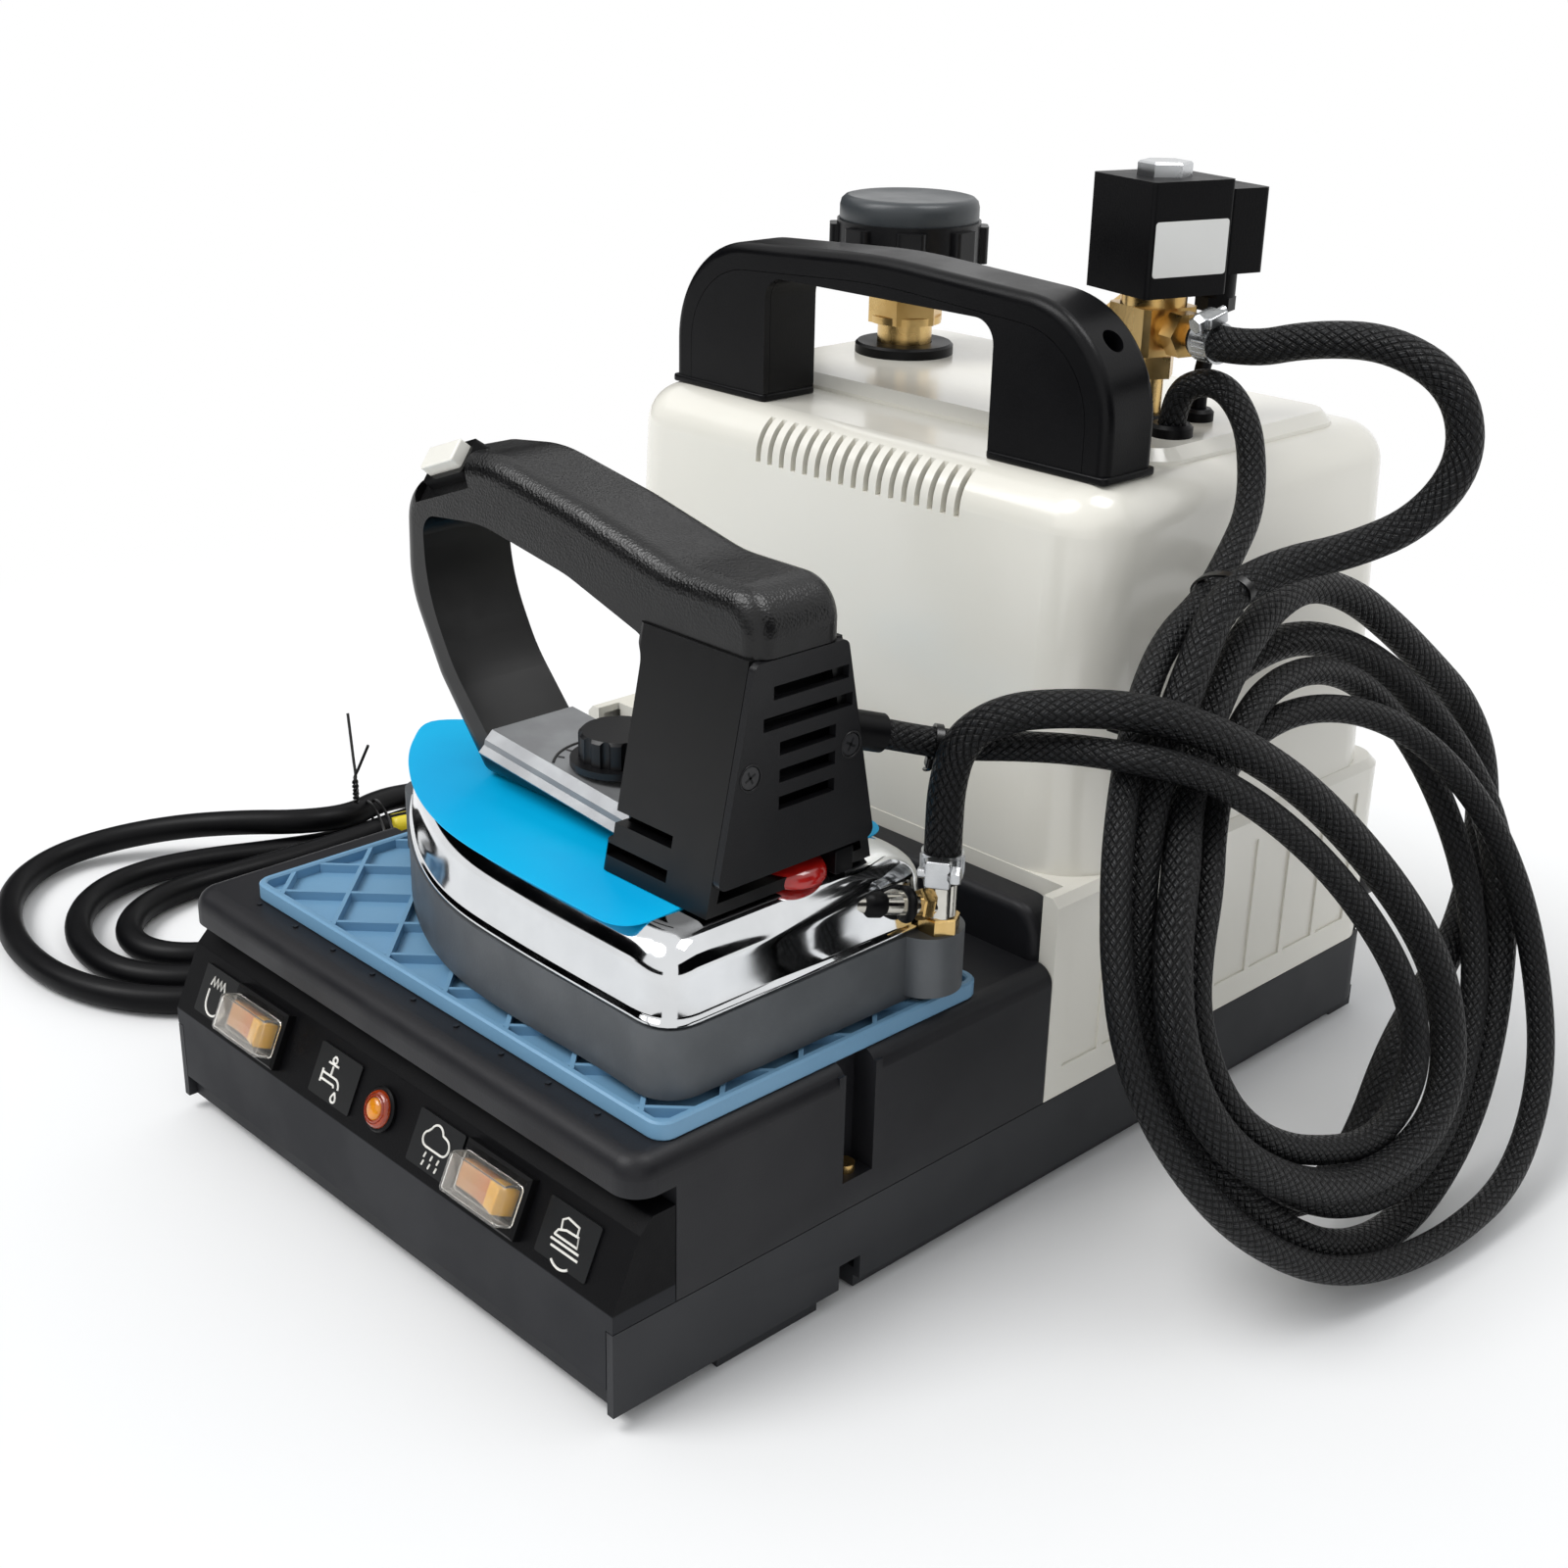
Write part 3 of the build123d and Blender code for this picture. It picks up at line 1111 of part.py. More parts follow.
def label_plate():
    """Bare aluminium plate over the linkage, its sides folded down in a step."""
    length = hypot(PLATE_FRONT - PLATE_BACK, PLATE_HIGH - PLATE_LOW)
    half = PLATE_HALF
    over = [(-half, 0), (half, 0), (half + 3, -3), (half + 3.4, -5), (half + 5.6, -7.2)]
    under = [(half + 4.8, -8.2), (half + 2.4, -5.6), (half + 2.1, -3.7), (half - 0.5, -SHEET)]
    under.append((-half + 0.5, -SHEET))
    left_under = [(-half - 2.1, -3.7), (-half - 2.4, -5.6), (-half - 4.8, -8.2)]
    left_over = [(-half - 5.6, -7.2), (-half - 3.4, -5), (-half - 3, -3)]
    face = make_face(Polyline(*(over + under + left_under + left_over), close=True))
    section = Plane(origin=(0, 0, 0), x_dir=(0, 1, 0), z_dir=(1, 0, 0)) * face
    sheet = plate_frame() * extrude(section, length)
    return IRON * (sheet - disc(-DIAL_X, 0, PLATE_LOW - 20, PLATE_HIGH + 20, DIAL_SHAFT / 2 + 1))


def dial_height():
    """Top of the label plate at the dial."""
    share = (PLATE_FRONT - DIAL_X) / (PLATE_FRONT - PLATE_BACK)
    return PLATE_HIGH + (PLATE_LOW - PLATE_HIGH) * share


def thermostat_knob():
    radius = DIAL_DIAMETER / 2
    knob = Cylinder(radius, 2.4, align=CENTRE_LOW) + Cylinder(radius - 3, DIAL_HEIGHT, align=CENTRE_LOW)
    knob = chamfer(knob.faces().sort_by(Axis.Z)[-1].edges(), 1.0)
    for k in range(DIAL_FLUTES):
        flute = Pos(radius - 2.0, 0, 2.4) * Cylinder(2.2, DIAL_HEIGHT, align=CENTRE_LOW)
        knob -= Rot(0, 0, 360 / DIAL_FLUTES * k) * flute
    knob -= Cylinder(DIAL_SHAFT / 2 + 0.05, DIAL_HEIGHT - 4, align=CENTRE_LOW)
    knob -= Pos(radius - 8, 0, DIAL_HEIGHT - 0.6) * Box(7, 1.6, 2, align=CENTRE_LOW)
    return IRON * Pos(-DIAL_X, 0, dial_height() + 1.6) * knob


def thermostat():
    """Bimetal control on the sole with its shaft up to the dial."""
    body = disc(-DIAL_X, 0, SOLE_TOP, SOLE_TOP + 4, 14)
    body += disc(-DIAL_X, 0, SOLE_TOP + 4, SOLE_TOP + 15, 11)
    shaft_top = dial_height() + 1.6 + DIAL_HEIGHT - 4.5
    return IRON * (body + disc(-DIAL_X, 0, SOLE_TOP + 15, shaft_top, DIAL_SHAFT / 2))


def button_frame():
    """Plane on the left shoulder of the grip; z points out of the button."""
    out = Vector(-0.236, -0.72, 0.652)
    return Plane(origin=(-BUTTON_X, BUTTON_Y, BUTTON_Z), x_dir=(-0.94, 0, -0.34), z_dir=out)


def button_pocket():
    """Flat land and well cut into the grip for the button."""
    depth = 9.0
    long, wide, _ = BUTTON_BEZEL
    land = Box(long + 8, wide + 10, 20, align=CENTRE_LOW)
    well = Pos(0, 0, -depth) * Box(BUTTON_LENGTH + 1.4, BUTTON_WIDTH + 1.4, depth + 1, align=CENTRE_LOW)
    return button_frame() * (land + well)


def button_bezel():
    long, wide, tall = BUTTON_BEZEL
    rim = extrude(RectangleRounded(long, wide, 2.0), tall, taper=6)
    rim -= Pos(0, 0, -1) * extrude(RectangleRounded(BUTTON_LENGTH + 0.8, BUTTON_WIDTH + 0.8, 1.2), tall + 2)
    return IRON * (button_frame() * rim)


def steam_button():
    tall = BUTTON_BEZEL[2]
    low = -1.5
    key = RectangleRounded(BUTTON_LENGTH, BUTTON_WIDTH, 1.0)
    cap = Pos(0, 0, low) * extrude(key, tall + BUTTON_PROUD - low)
    cap = fillet(cap.faces().sort_by(Axis.Z)[-1].edges(), 0.8)
    stem = Pos(0, 0, low - 3.5) * Cylinder(2.5, 3.5, align=CENTRE_LOW)
    return IRON * (button_frame() * (cap + stem))


def iron_lamp():
    """Red neon lens set under the heel of the handle."""
    return IRON * lamp_form(0)


def lamp_form(grow):
    z0 = IRON_COVER_TOP + 0.02
    x0, x1 = -HEEL_FACE - 12, -HEEL_FACE + 0.5
    body = block(x0 - grow, x1 + grow, -grow, 25 + grow, z0 - grow, z0 + 8.8 + grow)
    return fillet(body.edges().filter_by(Axis.Y).group_by(Axis.X)[-1].group_by(Axis.Z)[-1], 3)


def steam_inlet():
    """Nickel elbow screwed into the lug, with its cross tube and test plug."""
    x, y = INLET_X, INLET_Y
    nut = Pos(x, y, SOLE_TOP) * hex_bar(12, 5.5)
    stem = disc(x, y, SOLE_TOP + 5.5, SOLE_TOP + INLET_HEIGHT, 5.5)
    start, end = Vector(*INLET_TUBE[0]), Vector(*INLET_TUBE[1])
    middle = start + (end - start) * INLET_RING
    along = (end - start).normalized()
    collar = rod(tuple(middle - along * 2), tuple(middle + along * 2), INLET_COLLAR / 2)
    return IRON * (nut + stem + rod(*INLET_TUBE, INLET_BRANCH / 2) + collar)


def cable_boot():
    """Strain relief on the far side of the heel."""
    return IRON * rod(BOOT_START, BOOT_END, BOOT_RADIUS)


BOOT_START = (-24.0, 22.0, 196.6)
BOOT_END = (-16.0, 44.0, 190.0)
BOOT_RADIUS = 6.5


# ------------------------------------------------------------- hoses and cords
def bend_radii(points):
    """The largest tangent arc that each pair of runs allows."""
    path = [Vector(*p) for p in points]
    radii = []
    for before, here, after in zip(path, path[1:], path[2:]):
        turn = (here - before).get_angle(after - here)
        run = min((here - before).length, (after - here).length)
        radii.append(0.45 * run / tan(radians(turn) / 2))
    return radii


def tube(name, points, diameter):
    """A plain round tube along straight runs joined by tangent arcs."""
    radii = bend_radii(points)
    path = FilletPolyline(*points, radius=radii)
    start = Plane(origin=points[0], z_dir=Vector(*points[1]) - Vector(*points[0]))
    body = sweep(start * Circle(diameter / 2), path=path)
    section = pi * diameter ** 2 / 4
    print("%s: radii %s, length %.0f, volume ratio %.3f" % (
        name, [round(r) for r in radii], path.length, body.volume / section / path.length))
    return body


def steam_hose_upper():
    first = barb_point(HOSE_START)
    second = barb_point(HOSE_START + 25)
    route = [first, second, (150, 82, 306), (175, 88, 308), (196, 97, 296), (202, 100, 272),
             (192, 92, 250), (176, 76, 239), (164, 56, 233), (157, 35, 228)]
    return tube("steam_hose_upper", route, HOSE)


def iron_cable_upper():
    x, y, _ = grommet_places()[2]
    route = [(x, y, PLATEAU_TOP - 2), (x, y, 274), (99, 86, 283), (111, 87, 281), (122, 86, 270),
             (130, 83, 256), (137, 73, 244), (142, 57, 234), (146, 40, 223)]
    return tube("iron_cable_upper", route, CABLE)


def steam_hose_lead():
    x, y = IRON_HEEL_X + INLET_X, IRON_Y + INLET_Y
    route = [(177, 16, 180), (159, -12, 196), (142, -36, 206), (129, -53, 202),
             (x, y + 1, 188), (x, y, 166), (x, y, SOLE_TOP + INLET_HEIGHT)]
    return tube("steam_hose_lead", route, HOSE)


def iron_cable_lead():
    shift = Vector(IRON_HEEL_X, IRON_Y, 0)
    end = Vector(*BOOT_END) + shift
    before = end + (Vector(*BOOT_END) - Vector(*BOOT_START)) * 0.8
    route = [(178, 18, 166), (160, -5, 176), (141, -24, 182), (123, -40, 183), tuple(before), tuple(end)]
    return tube("iron_cable_lead", route, CABLE)


def hose_hank():
    """Coiled hose and cable leaning on the right of the base, as one ring."""
    ring = Cylinder(HANK_RADIUS, HANK_THICK)
    ring = fillet(ring.edges(), HANK_ROUND)
    ring -= Cylinder(HANK_HOLE, HANK_THICK + 2)
    lean = radians(HANK_LEAN)
    frame = Plane(
        origin=(HANK_FOOT_X - HANK_CENTRE_T * sin(lean), HANK_CENTRE_Y, HANK_CENTRE_T * cos(lean)),
        x_dir=(0, 1, 0),
        z_dir=(cos(lean), 0, sin(lean)),
    )
    return frame * ring


def power_gland():
    """Cord grip through the left side wall."""
    x, y, z = -HALF_W, GLAND_Y, GLAND_Z
    nut = Plane(origin=(x, y, z), z_dir=(-1, 0, 0)) * hex_bar(20, 5)
    dome = rod((x - 5, y, z), (x - 13, y, z), 8.5)
    stub = rod((x + WALL + 6, y, z), (x, y, z), 7.5)
    lock = rod((x + WALL + SEAT, y, z), (x + WALL + 4, y, z), 10.5)
    return nut + dome + stub + lock


def power_cord():
    """Mains cord: from its grip to the coil, and from the coil to the plug."""
    x, y, z = -HALF_W - 13, GLAND_Y, GLAND_Z
    over = COIL_LAYER + CORD / 2 + 0.6
    lead = [(x, y, z), (x - 12, y, z), (x - 25, y - 4, over + 0.5), (x - 38, y - 15, over),
            (x - 54, y - 39, over), (x - 72, y - 72, over), (x - 88, y - 103, over)]
    end = (*PLUG_START, PLUG_HEIGHT)
    tail = [(-191, 186, 7), (-203, 211, 9), (-209, 228, 14), (-204, 241, PLUG_HEIGHT), end]
    return Compound([tube("power_cord lead", lead, CORD), tube("power_cord tail", tail, CORD)])


def bent_slab(plan, height):
    """A flat form inside a smooth closed curve, standing on the floor."""
    return Pos(0, 0, COIL_GAP) * extrude(make_face(Spline(*plan, periodic=True)), height)


def power_cord_coil():
    """Three turns of cord lying on the floor beside the base, crossing at a tied waist."""
    edge = [
        (-318, 60), (-318, 150), (-303, 194), (-266, 214), (-222, 208), (-190, 190), (-181, 164),
        (-183, 128), (-194, 84), (-211, 40), (-226, 0), (-220, -30), (-196, -54), (-176, -88),
        (-172, -127), (-181, -164), (-209, -194), (-246, -210), (-287, -210), (-325, -199),
        (-356, -177), (-371, -149), (-367, -118), (-347, -91), (-320, -68), (-304, -48), (-301, -20),
        (-310, 8), (-316, 30),
    ]
    front_hole = [
        (-277, -64), (-287, -94), (-289, -122), (-281, -144), (-265, -157), (-246, -157),
        (-231, -143), (-225, -118), (-231, -89), (-247, -60), (-262, -44),
    ]
    back_hole = [
        (-286, 22), (-289, 65), (-289, 115), (-283, 158), (-269, 181), (-249, 184), (-232, 167),
        (-226, 134), (-236, 92), (-253, 47), (-270, 12),
    ]
    waist = [
        (-309, 8), (-300, -26), (-324, -64), (-312, -80), (-284, -60), (-262, -32), (-244, 0),
        (-230, 34), (-244, 44), (-262, 18), (-286, 14),
    ]
    coil = bent_slab(edge, COIL_LAYER) - bent_slab(front_hole, CORD * 3) - bent_slab(back_hole, CORD * 3)
    return coil + bent_slab(waist, COIL_CORD_HEIGHT)


def power_plug():
    """Round two-pin plug with its sleeve, lying at the end of the tail."""
    x, y = PLUG_START
    z = PLUG_HEIGHT
    body_start = y + PLUG_SLEEVE
    pin_start = body_start + PLUG_BODY
    sleeve = rod((x, y, z), (x, body_start, z), 8.0)
    body = rod((x, body_start, z), (x, pin_start, z), PLUG_HEIGHT - 0.5)
    body = chamfer(body.edges().filter_by(GeomType.CIRCLE).group_by(Axis.Y)[0], 4)
    plug = sleeve + body
    for side in (-1, 1):
        pin_x = x + side * PIN_SPREAD
        plug += rod((pin_x, pin_start, z), (pin_x, pin_start + PIN_LENGTH, z), PIN_DIAMETER / 2)
    return plug


PARTS = {
    "base_tray": base_tray,
    "control_panel": control_panel,
    "icon_plates": icon_plates,
    "panel_bezels": panel_bezels,
    "switch_covers": switch_covers,
    "pilot_lamp": pilot_lamp,
    "base_deck": base_deck,
    "iron_mat": iron_mat,
    "boiler_cover": boiler_cover,
    "boiler_tank": boiler_tank,
    "heating_element": heating_element,
    "filler_neck": filler_neck,
    "neck_flange": neck_flange,
    "plug_seal": plug_seal,
    "filler_plug": filler_plug,
    "filler_knob": filler_knob,
    "cover_grommets": cover_grommets,
    "valve_pipe": valve_pipe,
    "valve_body": valve_body,
    "valve_tube": valve_tube,
    "valve_plunger": valve_plunger,
    "valve_coil": valve_coil,
    "coil_nut": coil_nut,
    "valve_connector": valve_connector,
    "valve_cable": valve_cable,
    "hose_barb": hose_barb,
    "hose_clamp": hose_clamp,
    "pressure_switch": pressure_switch,
    "safety_thermostat": safety_thermostat,
    "terminal_block": terminal_block,
    "drain_spout": drain_spout,
    "carry_handle": carry_handle,
    "handle_insert": handle_insert,
    "case_screws": case_screws,
    "sole_plate": sole_plate,
    "iron_cover": iron_cover,
    "film_shield": film_shield,
    "iron_handle": iron_handle,
    "heel_cover": heel_cover,
    "heel_screws": heel_screws,
    "label_plate": label_plate,
    "thermostat_knob": thermostat_knob,
    "thermostat": thermostat,
    "button_bezel": button_bezel,
    "steam_button": steam_button,
    "iron_lamp": iron_lamp,
    "steam_inlet": steam_inlet,
    "cable_boot": cable_boot,
    "steam_hose_upper": steam_hose_upper,
    "hose_hank": hose_hank,
    "steam_hose_lead": steam_hose_lead,
    "iron_cable_upper": iron_cable_upper,
    "iron_cable_lead": iron_cable_lead,
    "power_gland": power_gland,
    "power_cord": power_cord,
    "power_cord_coil": power_cord_coil,
    "power_plug": power_plug,
}

os.makedirs("parts", exist_ok=True)
for part_name, make in PARTS.items():
    save(part_name, make())
save("rocker_left", rocker(SWITCH_X[0]))
save("rocker_right", rocker(SWITCH_X[1]))
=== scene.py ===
"""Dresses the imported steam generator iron: finishes, cords, trim and small fittings."""

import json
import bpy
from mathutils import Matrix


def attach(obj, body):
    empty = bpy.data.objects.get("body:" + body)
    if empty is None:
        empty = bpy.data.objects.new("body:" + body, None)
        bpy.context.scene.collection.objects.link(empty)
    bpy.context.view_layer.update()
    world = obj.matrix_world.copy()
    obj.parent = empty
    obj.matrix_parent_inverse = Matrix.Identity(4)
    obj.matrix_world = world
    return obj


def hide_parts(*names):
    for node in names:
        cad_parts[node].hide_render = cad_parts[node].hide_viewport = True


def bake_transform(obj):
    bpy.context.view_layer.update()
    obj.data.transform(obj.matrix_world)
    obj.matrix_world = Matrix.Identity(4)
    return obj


bl_info = {
    "name": "Steam generator iron",
    "version": (1, 0, 0),
    "blender": (4, 5, 0),
    "location": "View3D > Sidebar > Steam iron",
    "description": "Adds the hoses, trim and finishes of a boiler ironing station to its frame",
    "category": "Object",
}

from math import atan2, cos, pi, radians, sin

import bmesh
import bpy
import numpy as np
from mathutils import Matrix, Vector

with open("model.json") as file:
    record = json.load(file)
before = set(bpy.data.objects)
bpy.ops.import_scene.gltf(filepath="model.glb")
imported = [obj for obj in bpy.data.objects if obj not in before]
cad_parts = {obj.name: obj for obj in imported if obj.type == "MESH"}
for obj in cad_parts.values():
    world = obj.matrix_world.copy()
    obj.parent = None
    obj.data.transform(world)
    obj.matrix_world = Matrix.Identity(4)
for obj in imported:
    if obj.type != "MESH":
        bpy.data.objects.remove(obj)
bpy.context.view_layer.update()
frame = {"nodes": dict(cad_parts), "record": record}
MM = 0.001
LINE_STEPS = 8


# ------------------------------------------------------------------ meshes
def linear(code):
    """A colour written as #rrggbb, turned into scene-linear red, green, blue, alpha."""
    s = np.array([int(code[i:i + 2], 16) for i in (1, 3, 5)]) / 255
    return (*np.where(s <= 0.04045, s / 12.92, ((s + 0.055) / 1.055) ** 2.4), 1.0)


def link(mesh, name):
    """A new object that shows a mesh in the scene."""
    obj = bpy.data.objects.new(name, mesh)
    bpy.context.scene.collection.objects.link(obj)
    return obj


def skin(grid, wrap=True, caps=True):
    """Vertices and faces of a grid of points, rows along and columns around.

    wrap joins the last column to the first; caps close the first and last rows."""
    grid = np.asarray(grid, float)
    rows, cols = grid.shape[:2]
    index = np.arange(rows * cols).reshape(rows, cols)
    right = np.roll(index, -1, axis=1) if wrap else index[:, 1:]
    left = index if wrap else index[:, :-1]
    faces = np.stack([left[:-1], right[:-1], right[1:], left[1:]], axis=-1).reshape(-1, 4).tolist()
    if caps:
        faces += [index[0][::-1].tolist(), index[-1].tolist()]
    return grid.reshape(-1, 3), faces


def piece(name, *skins, smooth=40):
    """One object, its place in its mesh, from skins in millimetres; edges over an angle stay sharp."""
    points, faces = [], []
    for skin_points, skin_faces in skins:
        start = sum(len(p) for p in points)
        faces += [[start + k for k in face] for face in skin_faces]
        points.append(skin_points)
    mesh = bpy.data.meshes.new(name)
    mesh.from_pydata((np.vstack(points) * MM).tolist(), [], faces)
    work = bmesh.new()
    work.from_mesh(mesh)
    bmesh.ops.remove_doubles(work, verts=work.verts, dist=1e-6)
    bmesh.ops.recalc_face_normals(work, faces=work.faces)
    work.to_mesh(mesh)
    work.free()
    mesh.polygons.foreach_set("use_smooth", np.ones(len(mesh.polygons), bool))
    mesh.set_sharp_from_angle(angle=radians(smooth))
    mesh.update()
    return link(mesh, name)


def hose_skin(name, line, radius, sides):
    """A round skin along a line in mm, its UV map once around and in metres along."""
    points, faces = tube(line, radius, sides)
    mesh = bpy.data.meshes.new(name)
    mesh.from_pydata((points * MM).tolist(), [], faces)
    rows = len(line)
    step = np.arange(sides)
    u = np.stack([step, step + 1, step + 1, step], -1) / sides
    along = lengths(line) * MM
    v = np.stack([along[:-1], along[:-1], along[1:], along[1:]], -1)[:, None, :]
    shape = (rows - 1, sides, 4)
    pairs = np.stack([np.broadcast_to(u, shape), np.broadcast_to(v, shape)], -1).reshape(-1, 2)
    flat = np.zeros((len(mesh.loops), 2), np.float32)
    flat[:len(pairs)] = pairs
    mesh.uv_layers.new(name="UVMap").data.foreach_set("uv", flat.ravel())
    mesh.polygons.foreach_set("use_smooth", np.ones(len(mesh.polygons), bool))
    mesh.update()
    return link(mesh, name)


def nurbs_line(points):
    """Points of the smooth quadratic NURBS spline that has these control points, in mm."""
    data = bpy.data.curves.new("line", "CURVE")
    data.dimensions = "3D"
    spline = data.splines.new("NURBS")
    spline.points.add(len(points) - 1)
    flat = np.hstack([np.array(points, float) * MM, np.ones((len(points), 1))])
    spline.points.foreach_set("co", flat.ravel())
    spline.order_u = 3
    spline.use_endpoint_u = True
    data.resolution_u = LINE_STEPS
    obj = link(data, "line")
    mesh = bpy.data.meshes.new_from_object(obj)
    line = np.zeros(len(mesh.vertices) * 3)
    mesh.vertices.foreach_get("co", line)
    bpy.data.objects.remove(obj)
    bpy.data.curves.remove(data)
    bpy.data.meshes.remove(mesh)
    return line.reshape(-1, 3) / MM


def unit(way):
    """A direction at length one."""
    way = np.array(way, float)
    return way / np.linalg.norm(way)


def full_turn(sides):
    """Even angles round a circle, ready to spread over rows of points."""
    return np.linspace(0, 2 * pi, sides, endpoint=False)[None, :, None]


def along_line(line):
    """Tangents, and two crossing directions that turn as little as they can."""
    tangent = np.gradient(line, axis=0)
    tangent /= np.linalg.norm(tangent, axis=1)[:, None]
    start = np.cross(tangent[0], (0.0, 0.0, 1.0))
    if np.linalg.norm(start) < 0.1:
        start = np.cross(tangent[0], (0.0, 1.0, 0.0))
    side = [unit(start)]
    for step in tangent[1:]:
        side.append(unit(side[-1] - step * np.dot(side[-1], step)))
    side = np.array(side)
    return tangent, side, np.cross(tangent, side)


def lengths(line):
    """Length along a line up to each of its points."""
    return np.concatenate([[0], np.cumsum(np.linalg.norm(np.diff(line, axis=0), axis=1))])


def tube(line, radius, sides):
    """A circle of one radius, or one radius per point, carried along a line in mm."""
    _, side, up = along_line(line)
    turn = full_turn(sides)
    radius = np.broadcast_to(np.asarray(radius, float), len(line))[:, None, None]
    return skin(line[:, None] + radius * (side[:, None] * np.cos(turn) + up[:, None] * np.sin(turn)))


def turned(profile, centre, axis=(0, 0, 1), sides=64, caps=True):
    """A profile of (radius, height) pairs spun about an axis through a centre, in mm."""
    radius, height = (column[:, None, None] for column in np.array(profile, float).T)
    axis = unit(axis)
    side = unit(np.cross(axis, (0, 1, 0) if abs(axis[1]) < 0.9 else (1, 0, 0)))
    up = np.cross(axis, side)
    angle = full_turn(sides)
    ring = side * np.cos(angle) + up * np.sin(angle)
    return skin(np.array(centre, float) + axis * height + radius * ring, caps=caps)


def torus(centre, axis, radius, thick):
    """A circle of a thickness spun about an axis."""
    turn = np.linspace(0, 2 * pi, 17)
    profile = np.column_stack([radius + thick * np.cos(turn), thick * np.sin(turn)])
    return turned(profile, centre, axis, 40, caps=False)


def cross(centre, axis, side, half, width, depth):
    """Two crossed bars that mark a screw head, seen along its axis."""
    axis, side = unit(axis), unit(side)
    up = np.cross(axis, side)
    bars = []
    for one, two in ((side, up), (up, side)):
        right, left = one * half + two * width, two * width - one * half
        low = np.array([np.array(centre) + c - axis * depth for c in (right, left, -right, -left)])
        bars.append(skin(np.array([low, low + axis * depth])))
    return bars


def arc(x, y, radius, start, end, steps=12):
    """Points of an arc round (x, y), from one angle to another in degrees."""
    turn = np.radians(np.linspace(start, end, steps))
    return [(x + radius * cos(a), y + radius * sin(a)) for a in turn]


def at_height(flat, height):
    """The (x, y) rows of a flat outline, all raised to one height."""
    return np.column_stack([flat, np.full(len(flat), height)])


def rounded(half_x, half_y, corner):
    """Outline of a rounded rectangle about the origin, anticlockwise, as (x, y) rows."""
    bend = np.array(arc(0, 0, corner, 0, 90, 6))
    rows = []
    for quarter, (sx, sy) in enumerate(((1, 1), (-1, 1), (-1, -1), (1, -1))):
        c, s = cos(quarter * pi / 2), sin(quarter * pi / 2)
        heart = (sx * (half_x - corner), sy * (half_y - corner))
        rows.append(bend @ np.array([[c, s], [-s, c]]) + heart)
    return np.vstack(rows)


def slab(half_x, half_y, corner, low, high, edge, plane):
    """A rounded slab: its outline drawn in by a quarter round at the upper and lower edge."""
    turn = np.linspace(0, pi / 2, 4)
    inset = edge * (1 - np.cos(turn))
    lift = edge * np.sin(turn)
    levels = [(i, low + edge - h) for i, h in zip(inset[::-1], lift[::-1])]
    levels += [(i, high - edge + h) for i, h in zip(inset, lift)]
    rows = [
        at_height(rounded(half_x - i, half_y - i, max(corner - i, 0.05)), height)
        for i, height in levels
    ]
    return skin(placed(np.array(rows), plane))


def placed(grid, plane):
    """Points of a plane's own x, y and z, moved into the object: origin, then the three ways."""
    origin, x_way, y_way, z_way = (np.array(v, float) for v in plane)
    return origin + grid[..., :1] * x_way + grid[..., 1:2] * y_way + grid[..., 2:3] * z_way


def smooth_line(points, steps):
    """Catmull-Rom curve through points: each span a cubic with the neighbours' mean slopes."""
    p = np.array(points, float)
    whole = np.vstack([2 * p[0] - p[1], p, 2 * p[-1] - p[-2]])
    a, b, c, d = (v[:, None] for v in (whole[:-3], whole[1:-2], whole[2:-1], whole[3:]))
    t = np.linspace(0, 1, steps, endpoint=False)[None, :, None]
    square, cube = 2 * a - 5 * b + 4 * c - d, 3 * b - a - 3 * c + d
    curve = 0.5 * (2 * b + (c - a) * t + square * t**2 + cube * t**3)
    return np.vstack([curve.reshape(-1, p.shape[1]), p[-1]])


def add(name, skins, finish, body, slot, *stands_for, smooth=40):
    """Makes a piece: its finish, the body it rides, and the solids it stands for; its slot is not used.
    """
    obj = dress(piece(name, *skins, smooth=smooth), finish)
    if stands_for:
        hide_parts(*stands_for)
    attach(obj, body)
    return obj


